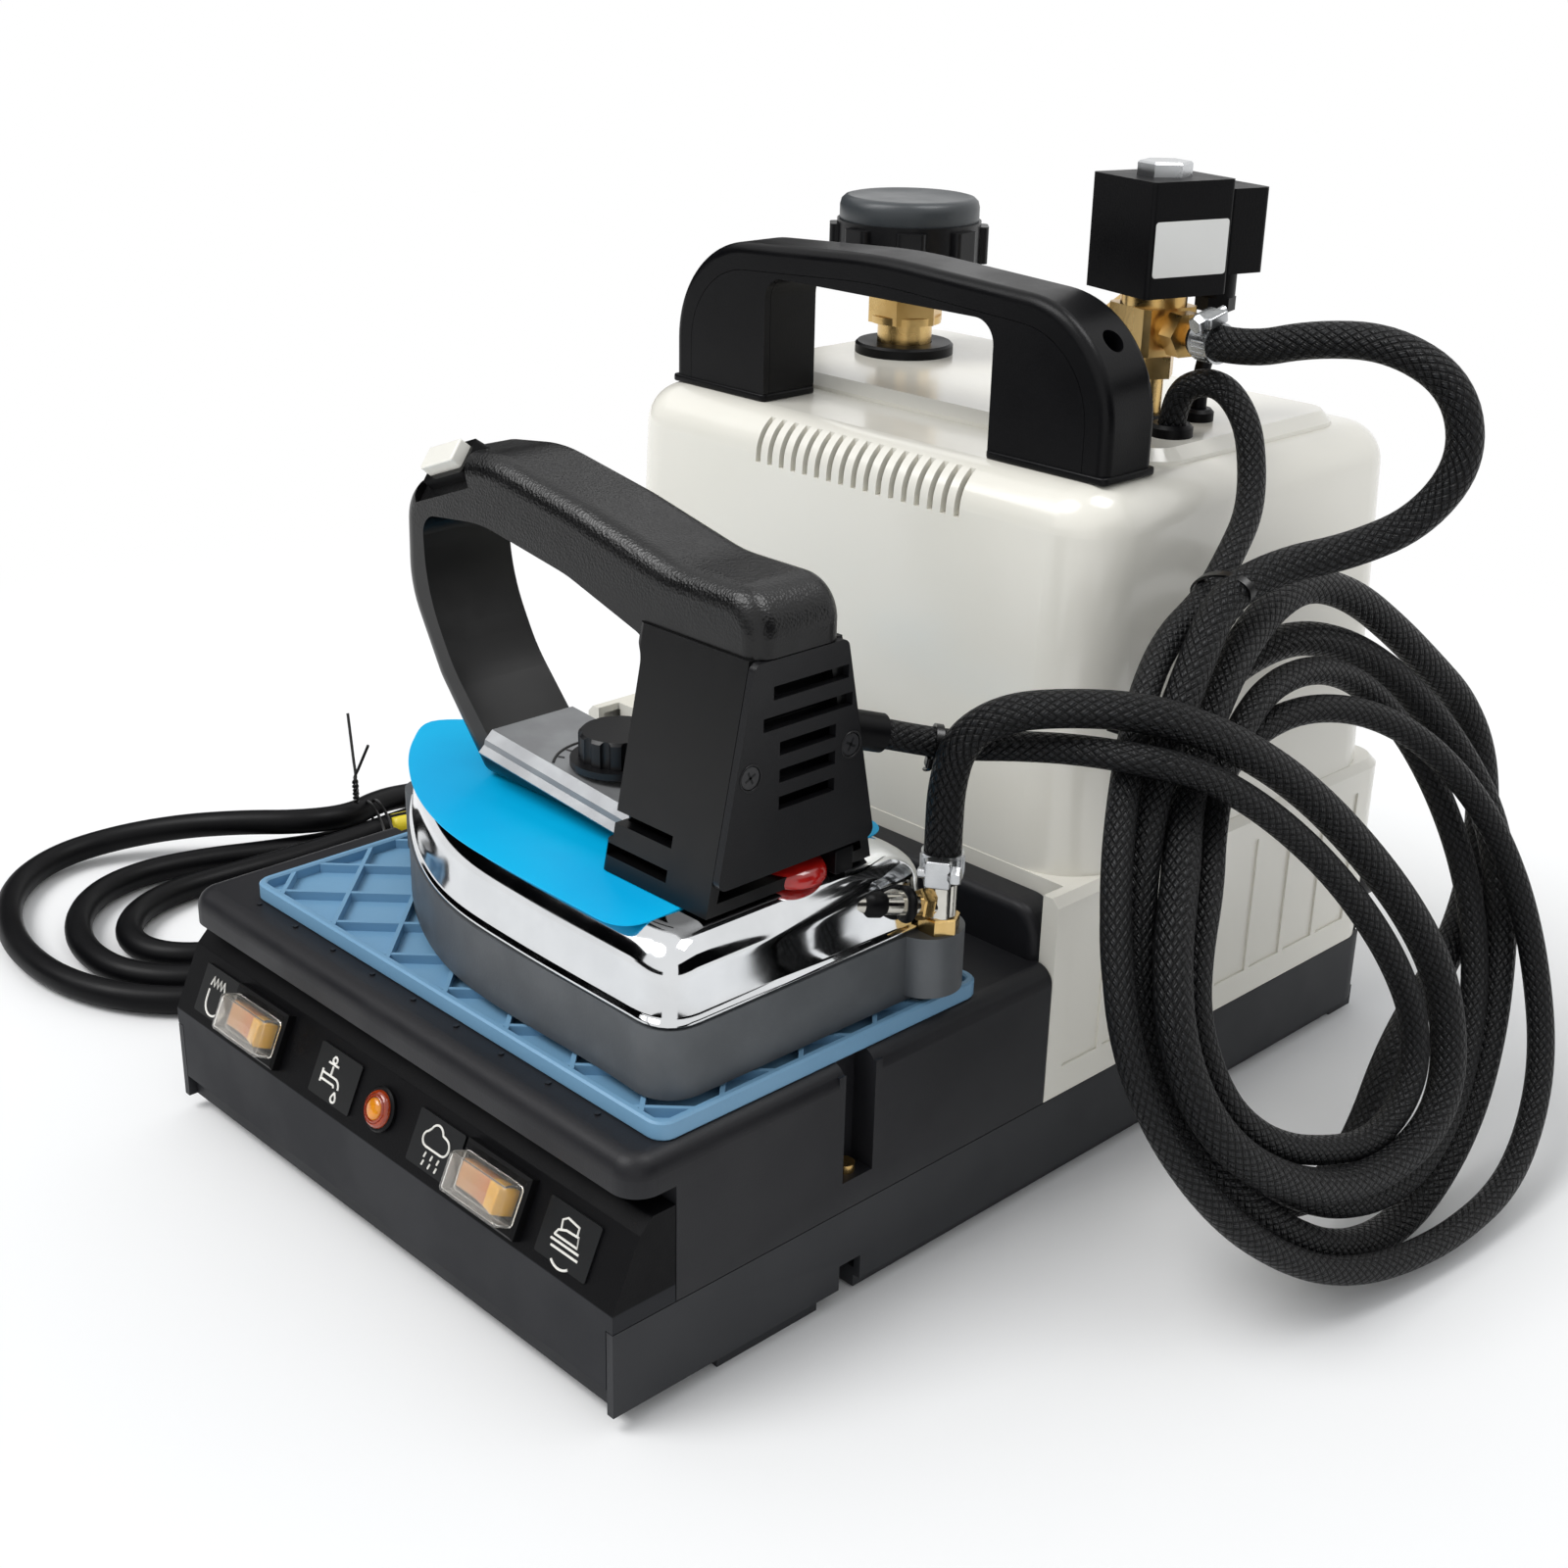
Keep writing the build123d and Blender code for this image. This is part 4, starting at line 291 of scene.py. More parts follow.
# ------------------------------------------------------------------ finishes
class Finish:
    """Node graph of one finish. Patterns read Object coordinates in metres."""

    def __init__(self, name, colour, roughness, metallic=0.0, **sockets):
        self.material = bpy.data.materials.new(name)
        self.material.use_nodes = True
        self.material.diffuse_color = linear(colour)
        tree = self.material.node_tree
        self.nodes, self.links = tree.nodes, tree.links
        self.shader = self.nodes["Principled BSDF"]
        self.put("Base Color", linear(colour))
        self.put("Roughness", roughness)
        self.put("Metallic", metallic)
        for key, value in sockets.items():
            self.put(key.replace("_", " "), value)
        self.place = self.nodes.new("ShaderNodeTexCoord")

    def put(self, socket, value):
        """Sets one value of the shader."""
        self.shader.inputs[socket].default_value = value

    def join(self, output, socket):
        """Links an output to a socket."""
        self.links.new(output, socket)

    def axes(self, source="Object"):
        """The x, y and z of a set of coordinates, each by itself."""
        node = self.nodes.new("ShaderNodeSeparateXYZ")
        self.join(self.place.outputs[source], node.inputs[0])
        return node.outputs

    def noise(self, scale, detail, stretch=(1, 1, 1)):
        """Smooth noise about 0.5, its grains drawn out along an axis by a stretch."""
        spread = self.nodes.new("ShaderNodeMapping")
        spread.inputs["Scale"].default_value = stretch
        self.join(self.place.outputs["Object"], spread.inputs["Vector"])
        node = self.nodes.new("ShaderNodeTexNoise")
        node.inputs["Scale"].default_value = scale
        node.inputs["Detail"].default_value = detail
        self.join(spread.outputs["Vector"], node.inputs["Vector"])
        return node.outputs["Fac"]

    def clouds(self, scale=9, low=0.35, high=0.7):
        """Soft patches: noise widened to the whole range from 0 to 1."""
        return self.span(self.noise(scale, 3), low, high)

    def maths(self, operation, first, second=0.0):
        """One sum of two numbers or patterns."""
        node = self.nodes.new("ShaderNodeMath")
        node.operation = operation
        for slot, value in enumerate((first, second)):
            if isinstance(value, (int, float)):
                node.inputs[slot].default_value = value
            else:
                self.join(value, node.inputs[slot])
        return node.outputs[0]

    def span(self, value, low, high, to_low=0.0, to_high=1.0):
        """Eases from one value to another as a pattern goes from low to high."""
        node = self.nodes.new("ShaderNodeMapRange")
        node.interpolation_type = "SMOOTHSTEP"
        ends = {"From Min": low, "From Max": high, "To Min": to_low, "To Max": to_high}
        for name, number in ends.items():
            node.inputs[name].default_value = number
        self.join(value, node.inputs["Value"])
        return node.outputs["Result"]

    def blend(self, factor, first, second):
        """Colour from first to second as the factor goes from 0 to 1."""
        node = self.nodes.new("ShaderNodeMix")
        node.data_type = "RGBA"
        self.join(factor, node.inputs["Factor"])
        for socket, value in ((node.inputs[6], first), (node.inputs[7], second)):
            if isinstance(value, str):
                socket.default_value = linear(value)
            else:
                self.join(value, socket)
        return node.outputs[2]

    def tint(self, factor, first, second):
        """Colours the shader from first to second along a pattern."""
        self.join(self.blend(factor, first, second), self.shader.inputs["Base Color"])
        return self

    def gloss(self, factor, low, high):
        """Varies the shader's roughness along a pattern."""
        self.join(self.span(factor, 0.3, 0.7, low, high), self.shader.inputs["Roughness"])
        return self

    def bumps(self, height, distance):
        """Relief of a height in metres over the 0 to 1 range of the pattern."""
        node = self.nodes.new("ShaderNodeBump")
        node.inputs["Distance"].default_value = distance
        self.join(height, node.inputs["Height"])
        self.join(node.outputs["Normal"], self.shader.inputs["Normal"])
        return self

    def wear(self, pale, amount=0.25):
        """Rubbed edges: pointiness picks the convex ones out in a paler colour."""
        geometry = self.nodes.new("ShaderNodeNewGeometry")
        edge = self.span(geometry.outputs["Pointiness"], 0.52, 0.6, 0.0, amount)
        base = self.shader.inputs["Base Color"].links[0].from_socket
        return self.tint(edge, base, pale)


def shell(name, colour, second, roughness, grain, depth, shine=0.5, coat=0.0):
    """Moulded or coated skin: faint clouds, fine grain and a gloss that varies a little."""
    f = Finish(name, colour, roughness, Coat_Weight=coat, Coat_Roughness=0.12)
    f.put("Specular IOR Level", shine)
    f.tint(f.clouds(), colour, second)
    f.gloss(f.noise(40, 3), roughness - 0.04, roughness + 0.05)
    return f.bumps(f.noise(grain, 2), depth)


def metal(name, colour, second, roughness, depth=0.00002, stretch=(1, 1, 1), scale=700, bare=1.0):
    """Bare metal with drawn or turned marks along one way, and smudged gloss."""
    f = Finish(name, colour, roughness, bare)
    f.tint(f.clouds(60, 0.35, 0.65), colour, second)
    f.gloss(f.noise(45, 4), max(0.03, roughness - 0.05), roughness + 0.07)
    return f.bumps(f.noise(scale, 2, stretch), depth)


def braid(name, turns, pitch, diameter):
    """Plaited textile sleeve: two sets of strands cross in diamonds along the UV map."""
    f = Finish(name, "#0c0c0d", 0.5)
    f.put("Specular IOR Level", 0.2)
    u, v, _ = f.axes("UV")
    around = f.maths("MULTIPLY", u, turns)
    along = f.maths("DIVIDE", v, pitch)
    left = f.maths("ADD", around, along)
    right = f.maths("SUBTRACT", around, along)
    wave = [f.maths("ABSOLUTE", f.maths("SINE", f.maths("MULTIPLY", w, pi))) for w in (left, right)]
    diamond = f.maths("SQRT", f.maths("MULTIPLY", *wave))
    cell = [f.maths("FLOOR", w) for w in (left, right)]
    even = f.maths("PINGPONG", f.maths("ADD", *cell), 1.0)
    threads = f.maths("SINE", f.maths("MULTIPLY", left, 6 * pi))
    crossing = f.maths("SINE", f.maths("MULTIPLY", right, 6 * pi))
    odd = f.maths("SUBTRACT", 1.0, even)
    weave = f.maths("ADD", f.maths("MULTIPLY", threads, even), f.maths("MULTIPLY", crossing, odd))
    height = f.maths("ADD", diamond, f.maths("MULTIPLY", weave, 0.12))
    raised = f.span(height, 0.45, 1.0)
    # painted sheen: raised strand tops are painted lighter, one strand set more than the other, and the
    # hollows between stay dark as painted shade
    painted_sheen = f.maths("MULTIPLY", raised, f.maths("ADD", 0.55, f.maths("MULTIPLY", even, 0.45)))
    f.tint(painted_sheen, "#050506", "#1c1d1f")
    f.gloss(height, 0.6, 0.36)
    return f.bumps(height, diameter * 0.05)


def make_finishes():
    """Every finish of the object, by the name of the record's slot or of the piece."""
    m = {}
    m["grey_shell"] = shell("tray_coat", "#232427", "#27282b", 0.5, 1500, 0.00005, 0.2).wear("#4d4e50")
    m["panel_shell"] = panel_finish()
    m["dark_shell"] = shell("deck_coat", "#1b1b1e", "#1f1f22", 0.42, 1500, 0.00005, 0.2).wear("#3f4042")
    m["cream_shell"] = shell("cover_lacquer", "#efece2", "#ece9de", 0.22, 240, 0.00001, 0.5, 0.3)
    m["icon_white"] = shell("icon_print", "#eeece6", "#e4e2db", 0.4, 1200, 0.00002)
    m["plate_black"] = shell("icon_plate", "#0f1011", "#131416", 0.34, 900, 0.00001, 0.3)
    m["black_plastic"] = shell("small_mouldings", "#0b0b0c", "#0e0e0f", 0.38, 1400, 0.00004, 0.14)
    m["handle_black"] = shell("handle_moulding", "#08080a", "#0b0b0d", 0.33, 1700, 0.00005, 0.14)
    m["grip_black"] = grip_finish()
    m["knob_black"] = shell("knob_moulding", "#101012", "#141416", 0.34, 1400, 0.00003, 0.3)
    m["crown_slate"] = shell("knob_crown", "#3c4043", "#414548", 0.36, 900, 0.00002, 0.35)
    m["screw_black"] = shell("blackened_screw", "#262628", "#2f2f31", 0.3, 900, 0.00002, 0.5)
    m["button_pale"] = shell("trigger_key", "#f4f2ea", "#eeece3", 0.3, 700, 0.00001)
    m["clear_cover"] = clear_hood()
    m["amber_rocker"] = rocker_finish("rocker_left_amber", -0.0745)
    m["amber_rocker_right"] = rocker_finish("rocker_right_amber", 0.0675)
    m["orange_lamp"] = glow_plastic("lamp_orange", "#8a2c0a", "#a83c10")
    m["red_lens"] = glow_plastic("lens_red", "#a31310", "#b81c16")
    # painted light: the heel moulding is a lighter copy of the handle's black, painted lighter so the
    # heel faces read as lit
    m["heel_lit_black"] = shell("heel_moulding_lit_copy", "#161618", "#1a1a1c", 0.36, 1500, 0.00005, 0.25)
    m["lamp_heart"] = glow_plastic("lamp_heart", "#c9790c", "#e08f14")
    m["mat_steel_blue"] = shell("silicone_mat", "#6b96b6", "#719cbb", 0.42, 600, 0.00006, 0.4)
    m["tank_steel"] = metal("brushed_steel", "#b4b6b8", "#c8cacc", 0.26, stretch=(1, 1, 14))
    m["nickel_tube"] = metal("nickel", "#b9b6ae", "#cfccc4", 0.16)
    m["brass_fittings"] = metal("brass", "#c9a566", "#dcbc80", 0.26, depth=0.00003)
    m["coil_black"] = shell("coil_moulding", "#08080a", "#0b0b0d", 0.42, 1300, 0.00006, 0.12)
    m["black_rubber"] = shell("cord_rubber", "#08080a", "#0b0b0d", 0.42, 800, 0.00003, 0.12)
    m["tie_black"] = shell("tie_nylon", "#0b0b0c", "#101011", 0.3, 500, 0.00001, 0.35)
    m["tag_yellow"] = shell("tag_card", "#e8d42a", "#e2cc20", 0.45, 700, 0.00002)
    m["label_white"] = shell("label_film", "#e9e9e6", "#e2e2df", 0.34, 500, 0.00001)
    m["ring_black"] = shell("scale_print", "#1a1a1b", "#202021", 0.4, 500, 0.00001)
    m["braid_black"] = braid("hose_braid", 13, 0.0042, 0.0125)
    m["cable_braid"] = braid("cable_braid", 11, 0.0040, 0.010)
    m["sole_grey"] = metal("cast_sole", "#55585b", "#5c5f62", 0.5, depth=0.00006, scale=900, bare=0.45)
    m["chrome_cover"] = metal("polished_chrome", "#dcdee0", "#d6d8da", 0.05, depth=0.000002, scale=60)
    m["cyan_film"] = film_finish()
    m["plate_silver"] = metal("anodised_plate", "#8f9092", "#9b9d9f", 0.5, stretch=(14, 1, 1), bare=0.5)
    return {key: value.material for key, value in m.items()}


def clear_hood():
    """Flexible clear plastic, faintly uneven."""
    f = Finish("clear_hood", "#fbf8f2", 0.12, IOR=1.4)
    f.put("Transmission Weight", 0.93)
    return f.bumps(f.noise(150, 2), 0.00004)


def grip_finish():
    """Black grip, its upper side pebbled: coarse bumps fade in with height over the hand hole."""
    f = Finish("grip_moulding", "#070708", 0.3)
    f.put("Specular IOR Level", 0.36)
    upper = f.span(f.axes()[2], 0.226, 0.246)
    cell = f.nodes.new("ShaderNodeTexVoronoi")
    cell.inputs["Scale"].default_value = 1100
    f.join(f.place.outputs["Object"], cell.inputs["Vector"])
    pebble = f.maths("MULTIPLY", cell.outputs["Distance"], upper)
    grain = f.maths("MULTIPLY", f.noise(1700, 2), 0.1)
    f.tint(f.clouds(), "#070708", "#0a0a0b")
    f.gloss(f.noise(120, 3), 0.28, 0.34)
    return f.bumps(f.maths("ADD", pebble, grain), 0.00012)


def rocker_finish(name, split_x):
    """Rocker key: tan over its low end, amber towards its raised end and yellow on the last facet."""
    f = Finish(name, "#efb02a", 0.25, Coat_Weight=0.4)
    along = f.axes()[0]
    warm = f.span(along, split_x - 0.010, split_x + 0.002)
    side = f.span(along, split_x + 0.0022, split_x + 0.0026)
    f.tint(side, f.blend(warm, "#c08a52", "#c4721c"), "#f0b40a")
    return f.bumps(f.noise(300, 2), 0.00002)


def panel_finish():
    """Coated panel: satin grey apron, and a face above the fold painted blacker as painted shade."""
    f = Finish("panel_coat_and_face_shade", "#232427", 0.48)
    f.put("Specular IOR Level", 0.1)
    # painted shade: the face above the fold is painted near black, darker than the apron below it
    face = f.span(f.axes()[2], 0.0432, 0.0440)
    cloud = f.clouds()
    f.tint(face, f.blend(cloud, "#26272a", "#2b2c2f"), f.blend(cloud, "#08080a", "#0b0b0d"))
    f.gloss(f.noise(40, 3), 0.42, 0.54)
    return f.bumps(f.noise(1500, 2), 0.00005)


def glow_plastic(name, colour, second):
    """Translucent coloured plastic, cloudy inside."""
    f = Finish(name, colour, 0.22, Coat_Weight=0.5)
    f.put("Subsurface Weight", 0.25)
    f.put("Subsurface Scale", 0.002)
    f.tint(f.span(f.noise(160, 2), 0.3, 0.7), colour, second)
    return f.bumps(f.noise(400, 2), 0.00002)


def film_finish():
    """Thin blue film with broad shallow waves."""
    f = Finish("cyan_film", "#00b4ec", 0.4)
    f.put("Specular IOR Level", 0.15)
    f.tint(f.clouds(18, 0.3, 0.7), "#00b0ea", "#04baf0")
    return f.bumps(f.noise(22, 1), 0.0005)


FINISH = {}


def dress(obj, key):
    """Gives an object one finish."""
    obj.data.materials.clear()
    obj.data.materials.append(FINISH[key])
    return obj


SLOT_OF = {row["node"]: row["material_slot"] for row in frame["record"]["subparts"]}
OWN_FINISH = {
    "iron_handle": "grip_black",
    "rocker_right": "amber_rocker_right",
    "control_panel": "panel_shell",
    # the heel cover takes the lighter, painted-light copy of the black
    "heel_cover": "heel_lit_black",
}


# ------------------------------------------------------------------ cords
HOSE_WIDTH, CABLE_WIDTH, MAINS_WIDTH = 12.5, 10.0, 12.0
# The hank leans by this angle, its foot stands at this x, and its heart lies at this y and slope.
HANK_LEAN = radians(23.59)
HANK_FOOT = 250.6
HANK_HEART = (61.0, 129.0)


def on_hank(y, up, out):
    """A point of the leaning hank: along the base, up the slope and out of it."""
    x = HANK_FOOT - up * sin(HANK_LEAN) + out * cos(HANK_LEAN)
    return (x, y, up * cos(HANK_LEAN) + out * sin(HANK_LEAN))


def hank_turns(rows):
    """Points round the hank's heart, each as degrees past the top, radius and depth."""
    y, up = HANK_HEART
    return [
        on_hank(y - radius * sin(radians(turn)), up + radius * cos(radians(turn)), out)
        for turn, radius, out in rows
    ]


HOSE_DOWN = [
    (100.1, 86, 298), (124.2, 79.5, 298), (149, 81, 306), (175, 88, 308), (196, 97, 296), (202, 100, 272),
    (192, 92, 250), (176, 76, 239), (163, 56, 235),
]
HOSE_TURNS = [
    (14, 121, 6), (28, 110, 4), (46, 104, 0), (66, 105, -1), (86, 111, -2), (104, 114, -2),
    (122, 114, -2), (140, 114, -3), (158, 117, -5), (175, 117, -7), (190, 114, -7), (208, 109, -5),
    (226, 104, -3), (243, 103, -2), (258, 107, -2), (273, 109, -2), (290, 106, -5), (307, 104, -8),
    (324, 102, -10), (340, 99, -12), (354, 94, -14), (10, 90, -15), (28, 90, -15.5),
    (48, 92, -15.5), (68, 98, -15.5), (88, 103, -15.5), (106, 105, -15.5), (124, 105, -15.5),
    (142, 104, -15), (158, 100, -15), (172, 91, -15), (185, 80, -15), (200, 71, -15),
    (218, 71, -15), (236, 82, -15), (250, 97, -15), (262, 112, -15), (272, 124, -14),
    (282, 131, -12), (292, 129, -10), (303, 121, -8), (316, 117, -6), (330, 117, -4),
    (343, 116, -3), (355, 110, -1), (8, 102, 0), (22, 95, 1), (37, 90, 0), (52, 90, 2),
    (67, 95, 8), (80, 105, 11), (92, 113, 12), (104, 116, 12), (117, 113, 12), (133, 104, 11),
    (150, 96, 10), (167, 88, 11), (182, 82, 12),
]
HOSE_ACROSS = [
    (80, 58, 12.5), (88, 77, 13.5), (88, 99, 14.5), (77, 124, 15.5), (58, 151, 16.5),
    (36, 176, 17), (13, 195, 17), (-8, 209, 15), (-28, 220, 10),
]
HOSE_TO_IRON = [
    (153, -42, 205), (138, -54, 202), (126, -61, 191), (122.7, -62.5, 174), (122.7, -62.5, 157),
    (122.7, -62.5, 140.7),
]
CABLE_DOWN = [
    (92, 85.5, 260), (92, 85.5, 270), (96, 86, 281), (110, 88, 284), (123, 87, 273),
    (130, 83, 257), (137, 73, 244), (142, 57, 234),
]
CABLE_TURNS = [
    (10, 119, -7), (25, 119, -6), (41, 117, -3), (62, 117, 0), (78, 121, 2), (92, 127, 3),
    (104, 127, 3), (117, 126, 3), (131, 125, 3), (147, 124, 3), (160, 123, 4), (172, 122, 6),
    (185, 123, 8), (200, 127, 9), (213, 126, 9), (226, 120, 10), (241, 109, 10), (255, 100, 10),
    (268, 92, 10), (280, 85, 10), (294, 79, 9), (310, 75, 7), (330, 72, 4), (350, 71, 0),
    (8, 71, -3), (25, 70, -7), (44, 70, -9), (65, 77, -9), (83, 86, -7), (98, 94, -6),
    (113, 99, -6), (130, 101, -5), (150, 102, -3), (168, 102, -2), (185, 101, -2), (203, 98, -3),
    (220, 93, -3), (237, 90, -3), (254, 87, -3), (272, 84, -3), (292, 84, -4), (310, 85, -4),
    (328, 86, -3), (346, 85, -1), (4, 83, 0), (20, 80, 1), (36, 76, 0), (53, 75, 2), (69, 80, 7),
    (83, 90, 8), (94, 98, 8), (106, 101, 8), (117, 100, 8), (131, 93, 7), (149, 84, 6),
    (163, 80, 6),
]
CABLE_ACROSS = [
    (57, 57, 7), (69, 68, 9), (73, 86, 11), (66, 108, 13), (54, 130, 14), (39, 150, 15),
    (22, 168, 15.5), (3, 184, 16), (-16, 197, 15), (-34, 206, 10),
]
CABLE_TO_IRON = [
    (156, -39, 191), (137, -45, 188), (121, -50, 184.5), (110, -58, 184.7), (103.5, -74, 190),
]
MAINS_ROUTE = [
    (-143, 150, 22), (-155, 150, 22), (-167, 147, 20), (-180, 136, 19), (-196, 112, 20),
    (-214, 80, 20), (-233, 44, 20), (-251, 8, 20), (-266, -14, 19.5), (-276, -36, 14),
    (-285, -64, 9), (-293, -94, 6.5), (-295, -124, 6.5), (-286, -148, 6.5), (-267, -163, 6.5),
    (-244, -163, 6.5), (-226, -147, 6.5), (-219, -118, 6.5), (-225, -87, 6.5), (-243, -58, 6.5),
    (-264, -26, 6.5), (-261, 6, 6.5), (-247, 46, 6.5), (-230, 90, 6.5), (-220, 134, 6.5),
    (-226, 170, 6.5), (-247, 190, 6.5), (-272, 187, 6.5), (-289, 161, 6.5), (-295, 115, 6.5),
    (-295, 65, 6.5), (-294, 15, 6.5), (-291, -33, 6.5), (-303, -66, 6.5), (-317, -97, 6.5),
    (-323, -126, 6.5), (-316, -152, 6.5), (-296, -172, 6.5), (-268, -183, 6.5), (-238, -182, 6.5),
    (-213, -166, 6.5), (-199, -138, 6.5), (-197, -104, 6.5), (-207, -72, 6.5), (-230, -47, 6.5),
    (-250, -24, 6.5), (-246, 4, 6.5), (-231, 42, 6.5), (-214, 86, 6.5), (-204, 130, 6.5),
    (-207, 172, 6.5), (-230, 203, 6.5), (-266, 208, 6.5), (-297, 189, 6.5), (-310, 152, 6.5),
    (-312, 105, 6.5), (-311, 60, 7), (-309, 22, 11), (-301, -6, 17.5), (-290, -30, 19.5),
    (-297, -53, 20.5), (-319, -73, 19), (-343, -95, 15), (-361, -121, 10), (-365, -148, 7),
    (-350, -174, 6.5), (-322, -193, 6.5), (-286, -204, 6.5), (-247, -204, 6.5), (-212, -190, 6.5),
    (-187, -163, 6.5), (-178, -127, 6.5), (-182, -90, 6.5), (-202, -57, 6.5), (-228, -32, 6.5),
    (-236, -4, 6.5), (-217, 40, 6.5), (-199, 85, 6.5), (-188, 130, 6.5), (-187, 170, 6.5),
    (-195, 198, 7), (-205, 215, 9), (-209, 228, 14), (-204, 241, 19), (-204, 254, 19),
]


# ------------------------------------------------------------------ the stage
CAMERA_PLACE = (0.54182, -0.54401, 0.43773)
CAMERA_LENS = 48.818
CAMERA_TURN = (radians(45.76), radians(22.54), radians(1.28))
FLOOR_RINGS = (0.5, 1.2, 8.0)
FLOOR_SIDES = 64
FLOOR_FADE = (0.42, 0.85)
CARDS = {
    "card_left": ((-2.2, 2.2), (-2.2, -1.2), 0.1, 1.5),
    "card_far": ((-2.2, -1.2), (-1.2, -2.2), 0.1, 1.5),
    "card_front": ((-0.9, -1.3), (0.6, -1.6), 0.02, 0.32),
    "card_right": ((1.1, -0.5), (1.1, 0.6), 0.05, 0.75),
}


def place_camera():
    """Sets the camera from its place, its lens and its yaw, pitch and roll."""
    data = bpy.data.cameras.new("camera")
    data.lens = CAMERA_LENS
    data.sensor_width = 36
    data.clip_start = 0.05
    camera = link(data, "camera")
    yaw, pitch, roll = CAMERA_TURN
    look = Vector((-sin(yaw) * cos(pitch), cos(yaw) * cos(pitch), -sin(pitch)))
    right = Vector((cos(yaw), sin(yaw), 0))
    up = right.cross(look)
    across = right * cos(roll) + up * sin(roll)
    over = up * cos(roll) - right * sin(roll)
    turn = Matrix((across, over, -look)).transposed()
    camera.matrix_world = Matrix.Translation(CAMERA_PLACE) @ turn.to_4x4()
    bpy.context.scene.camera = camera


def lamp(name, kind, way, power):
    """A light of a kind that shines along a direction."""
    data = bpy.data.lights.new(name, kind)
    data.energy = power
    obj = link(data, name)
    obj.rotation_euler = Vector(way).to_track_quat("-Z", "Y").to_euler()
    return obj


def soft_box(name, place, aim, size, power):
    """A lamp card that only shiny surfaces show; the even light comes from the sun and sky."""
    obj = lamp(name, "AREA", Vector(aim) - Vector(place), power)
    obj.data.shape = "RECTANGLE"
    obj.data.size, obj.data.size_y = size
    obj.location = place
    obj.visible_diffuse = False


def dark_card(name, near, far, foot, head):
    """A black card that only polished surfaces see, upright over two corners of the floor."""
    mesh = bpy.data.meshes.new(name)
    corners = [(*near, foot), (*far, foot), (*far, head), (*near, head)]
    mesh.from_pydata(corners, [], [(0, 1, 2, 3)])
    card = link(mesh, name)
    black = Finish(name, "#060607", 0.9)
    black.put("Specular IOR Level", 0.0)
    mesh.materials.append(black.material)
    for ray in ("camera", "diffuse", "shadow", "transmission", "volume_scatter"):
        setattr(card, "visible_" + ray, False)


def seen_rays(nodes, links):
    """1 for rays from the camera, from gloss and through clear pieces, else 0."""
    path = nodes.new("ShaderNodeLightPath")
    total = path.outputs["Is Camera Ray"]
    for name in ("Is Glossy Ray", "Is Transmission Ray"):
        step = nodes.new("ShaderNodeMath")
        step.operation = "MAXIMUM"
        links.new(total, step.inputs[0])
        links.new(path.outputs[name], step.inputs[1])
        total = step.outputs[0]
    return total


def make_floor(colour):
    """Paper floor round the object that turns to plain white some way out."""
    turn = np.linspace(0, 2 * pi, FLOOR_SIDES, endpoint=False)
    rings = [(r * cos(a), r * sin(a), 0.0) for r in FLOOR_RINGS for a in turn]
    index = np.arange(len(rings)).reshape(-1, FLOOR_SIDES)
    side = np.roll(index, -1, axis=1)
    faces = np.stack([index[1:], side[1:], side[:-1], index[:-1]], -1).reshape(-1, 4)
    mesh = bpy.data.meshes.new("floor")
    mesh.from_pydata(rings, [], faces.tolist() + [index[0].tolist()])
    floor = link(mesh, "floor")
    paper = Finish("floor_paper", "#f7f7f7", 0.9)
    paper.put("Base Color", (*colour, 1.0))
    paper.put("Specular IOR Level", 0.0)
    nodes, links = paper.nodes, paper.links
    white = nodes.new("ShaderNodeEmission")
    mix = nodes.new("ShaderNodeMixShader")
    reach = nodes.new("ShaderNodeVectorMath")
    reach.operation = "LENGTH"
    links.new(paper.place.outputs["Object"], reach.inputs[0])
    away = paper.span(reach.outputs["Value"], *FLOOR_FADE)
    links.new(paper.maths("MULTIPLY", away, seen_rays(nodes, links)), mix.inputs[0])
    links.new(paper.shader.outputs[0], mix.inputs[1])
    links.new(white.outputs[0], mix.inputs[2])
    links.new(mix.outputs[0], nodes["Material Output"].inputs["Surface"])
    mesh.materials.append(paper.material)


def make_sky(strength):
    """Cool even light for the object, and plain white where the camera sees the sky."""
    world = bpy.data.worlds.new("studio")
    world.use_nodes = True
    nodes, links = world.node_tree.nodes, world.node_tree.links
    nodes.clear()
    out = nodes.new("ShaderNodeOutputWorld")
    soft, plain = nodes.new("ShaderNodeBackground"), nodes.new("ShaderNodeBackground")
    mix = nodes.new("ShaderNodeMixShader")
    soft.inputs["Color"].default_value = (0.97, 0.985, 1.0, 1)
    soft.inputs["Strength"].default_value = strength
    plain.inputs["Strength"].default_value = 1.0
    plain.inputs["Color"].default_value = (1, 1, 1, 1)
    links.new(seen_rays(nodes, links), mix.inputs[0])
    links.new(soft.outputs[0], mix.inputs[1])
    links.new(plain.outputs[0], mix.inputs[2])
    links.new(mix.outputs[0], out.inputs["Surface"])
    bpy.context.scene.world = world


def make_stage(floor_colour):
    """Floor, sky, sun, lamp cards and dark cards round the object."""
    make_floor(floor_colour)
    make_sky(0.70)
    sun = lamp("sun", "SUN", (0.5, 1.0, -1.7), 1.7)
    sun.data.angle = radians(32)
    soft_box("box_left", (-0.9, -1.1, 1.5), (0, -0.1, 0.2), (0.7, 0.9), 7)
    soft_box("box_top", (0.5, 0.3, 1.7), (0, 0, 0.2), (0.7, 0.7), 13)
    for name, card in CARDS.items():
        dark_card(name, *card)


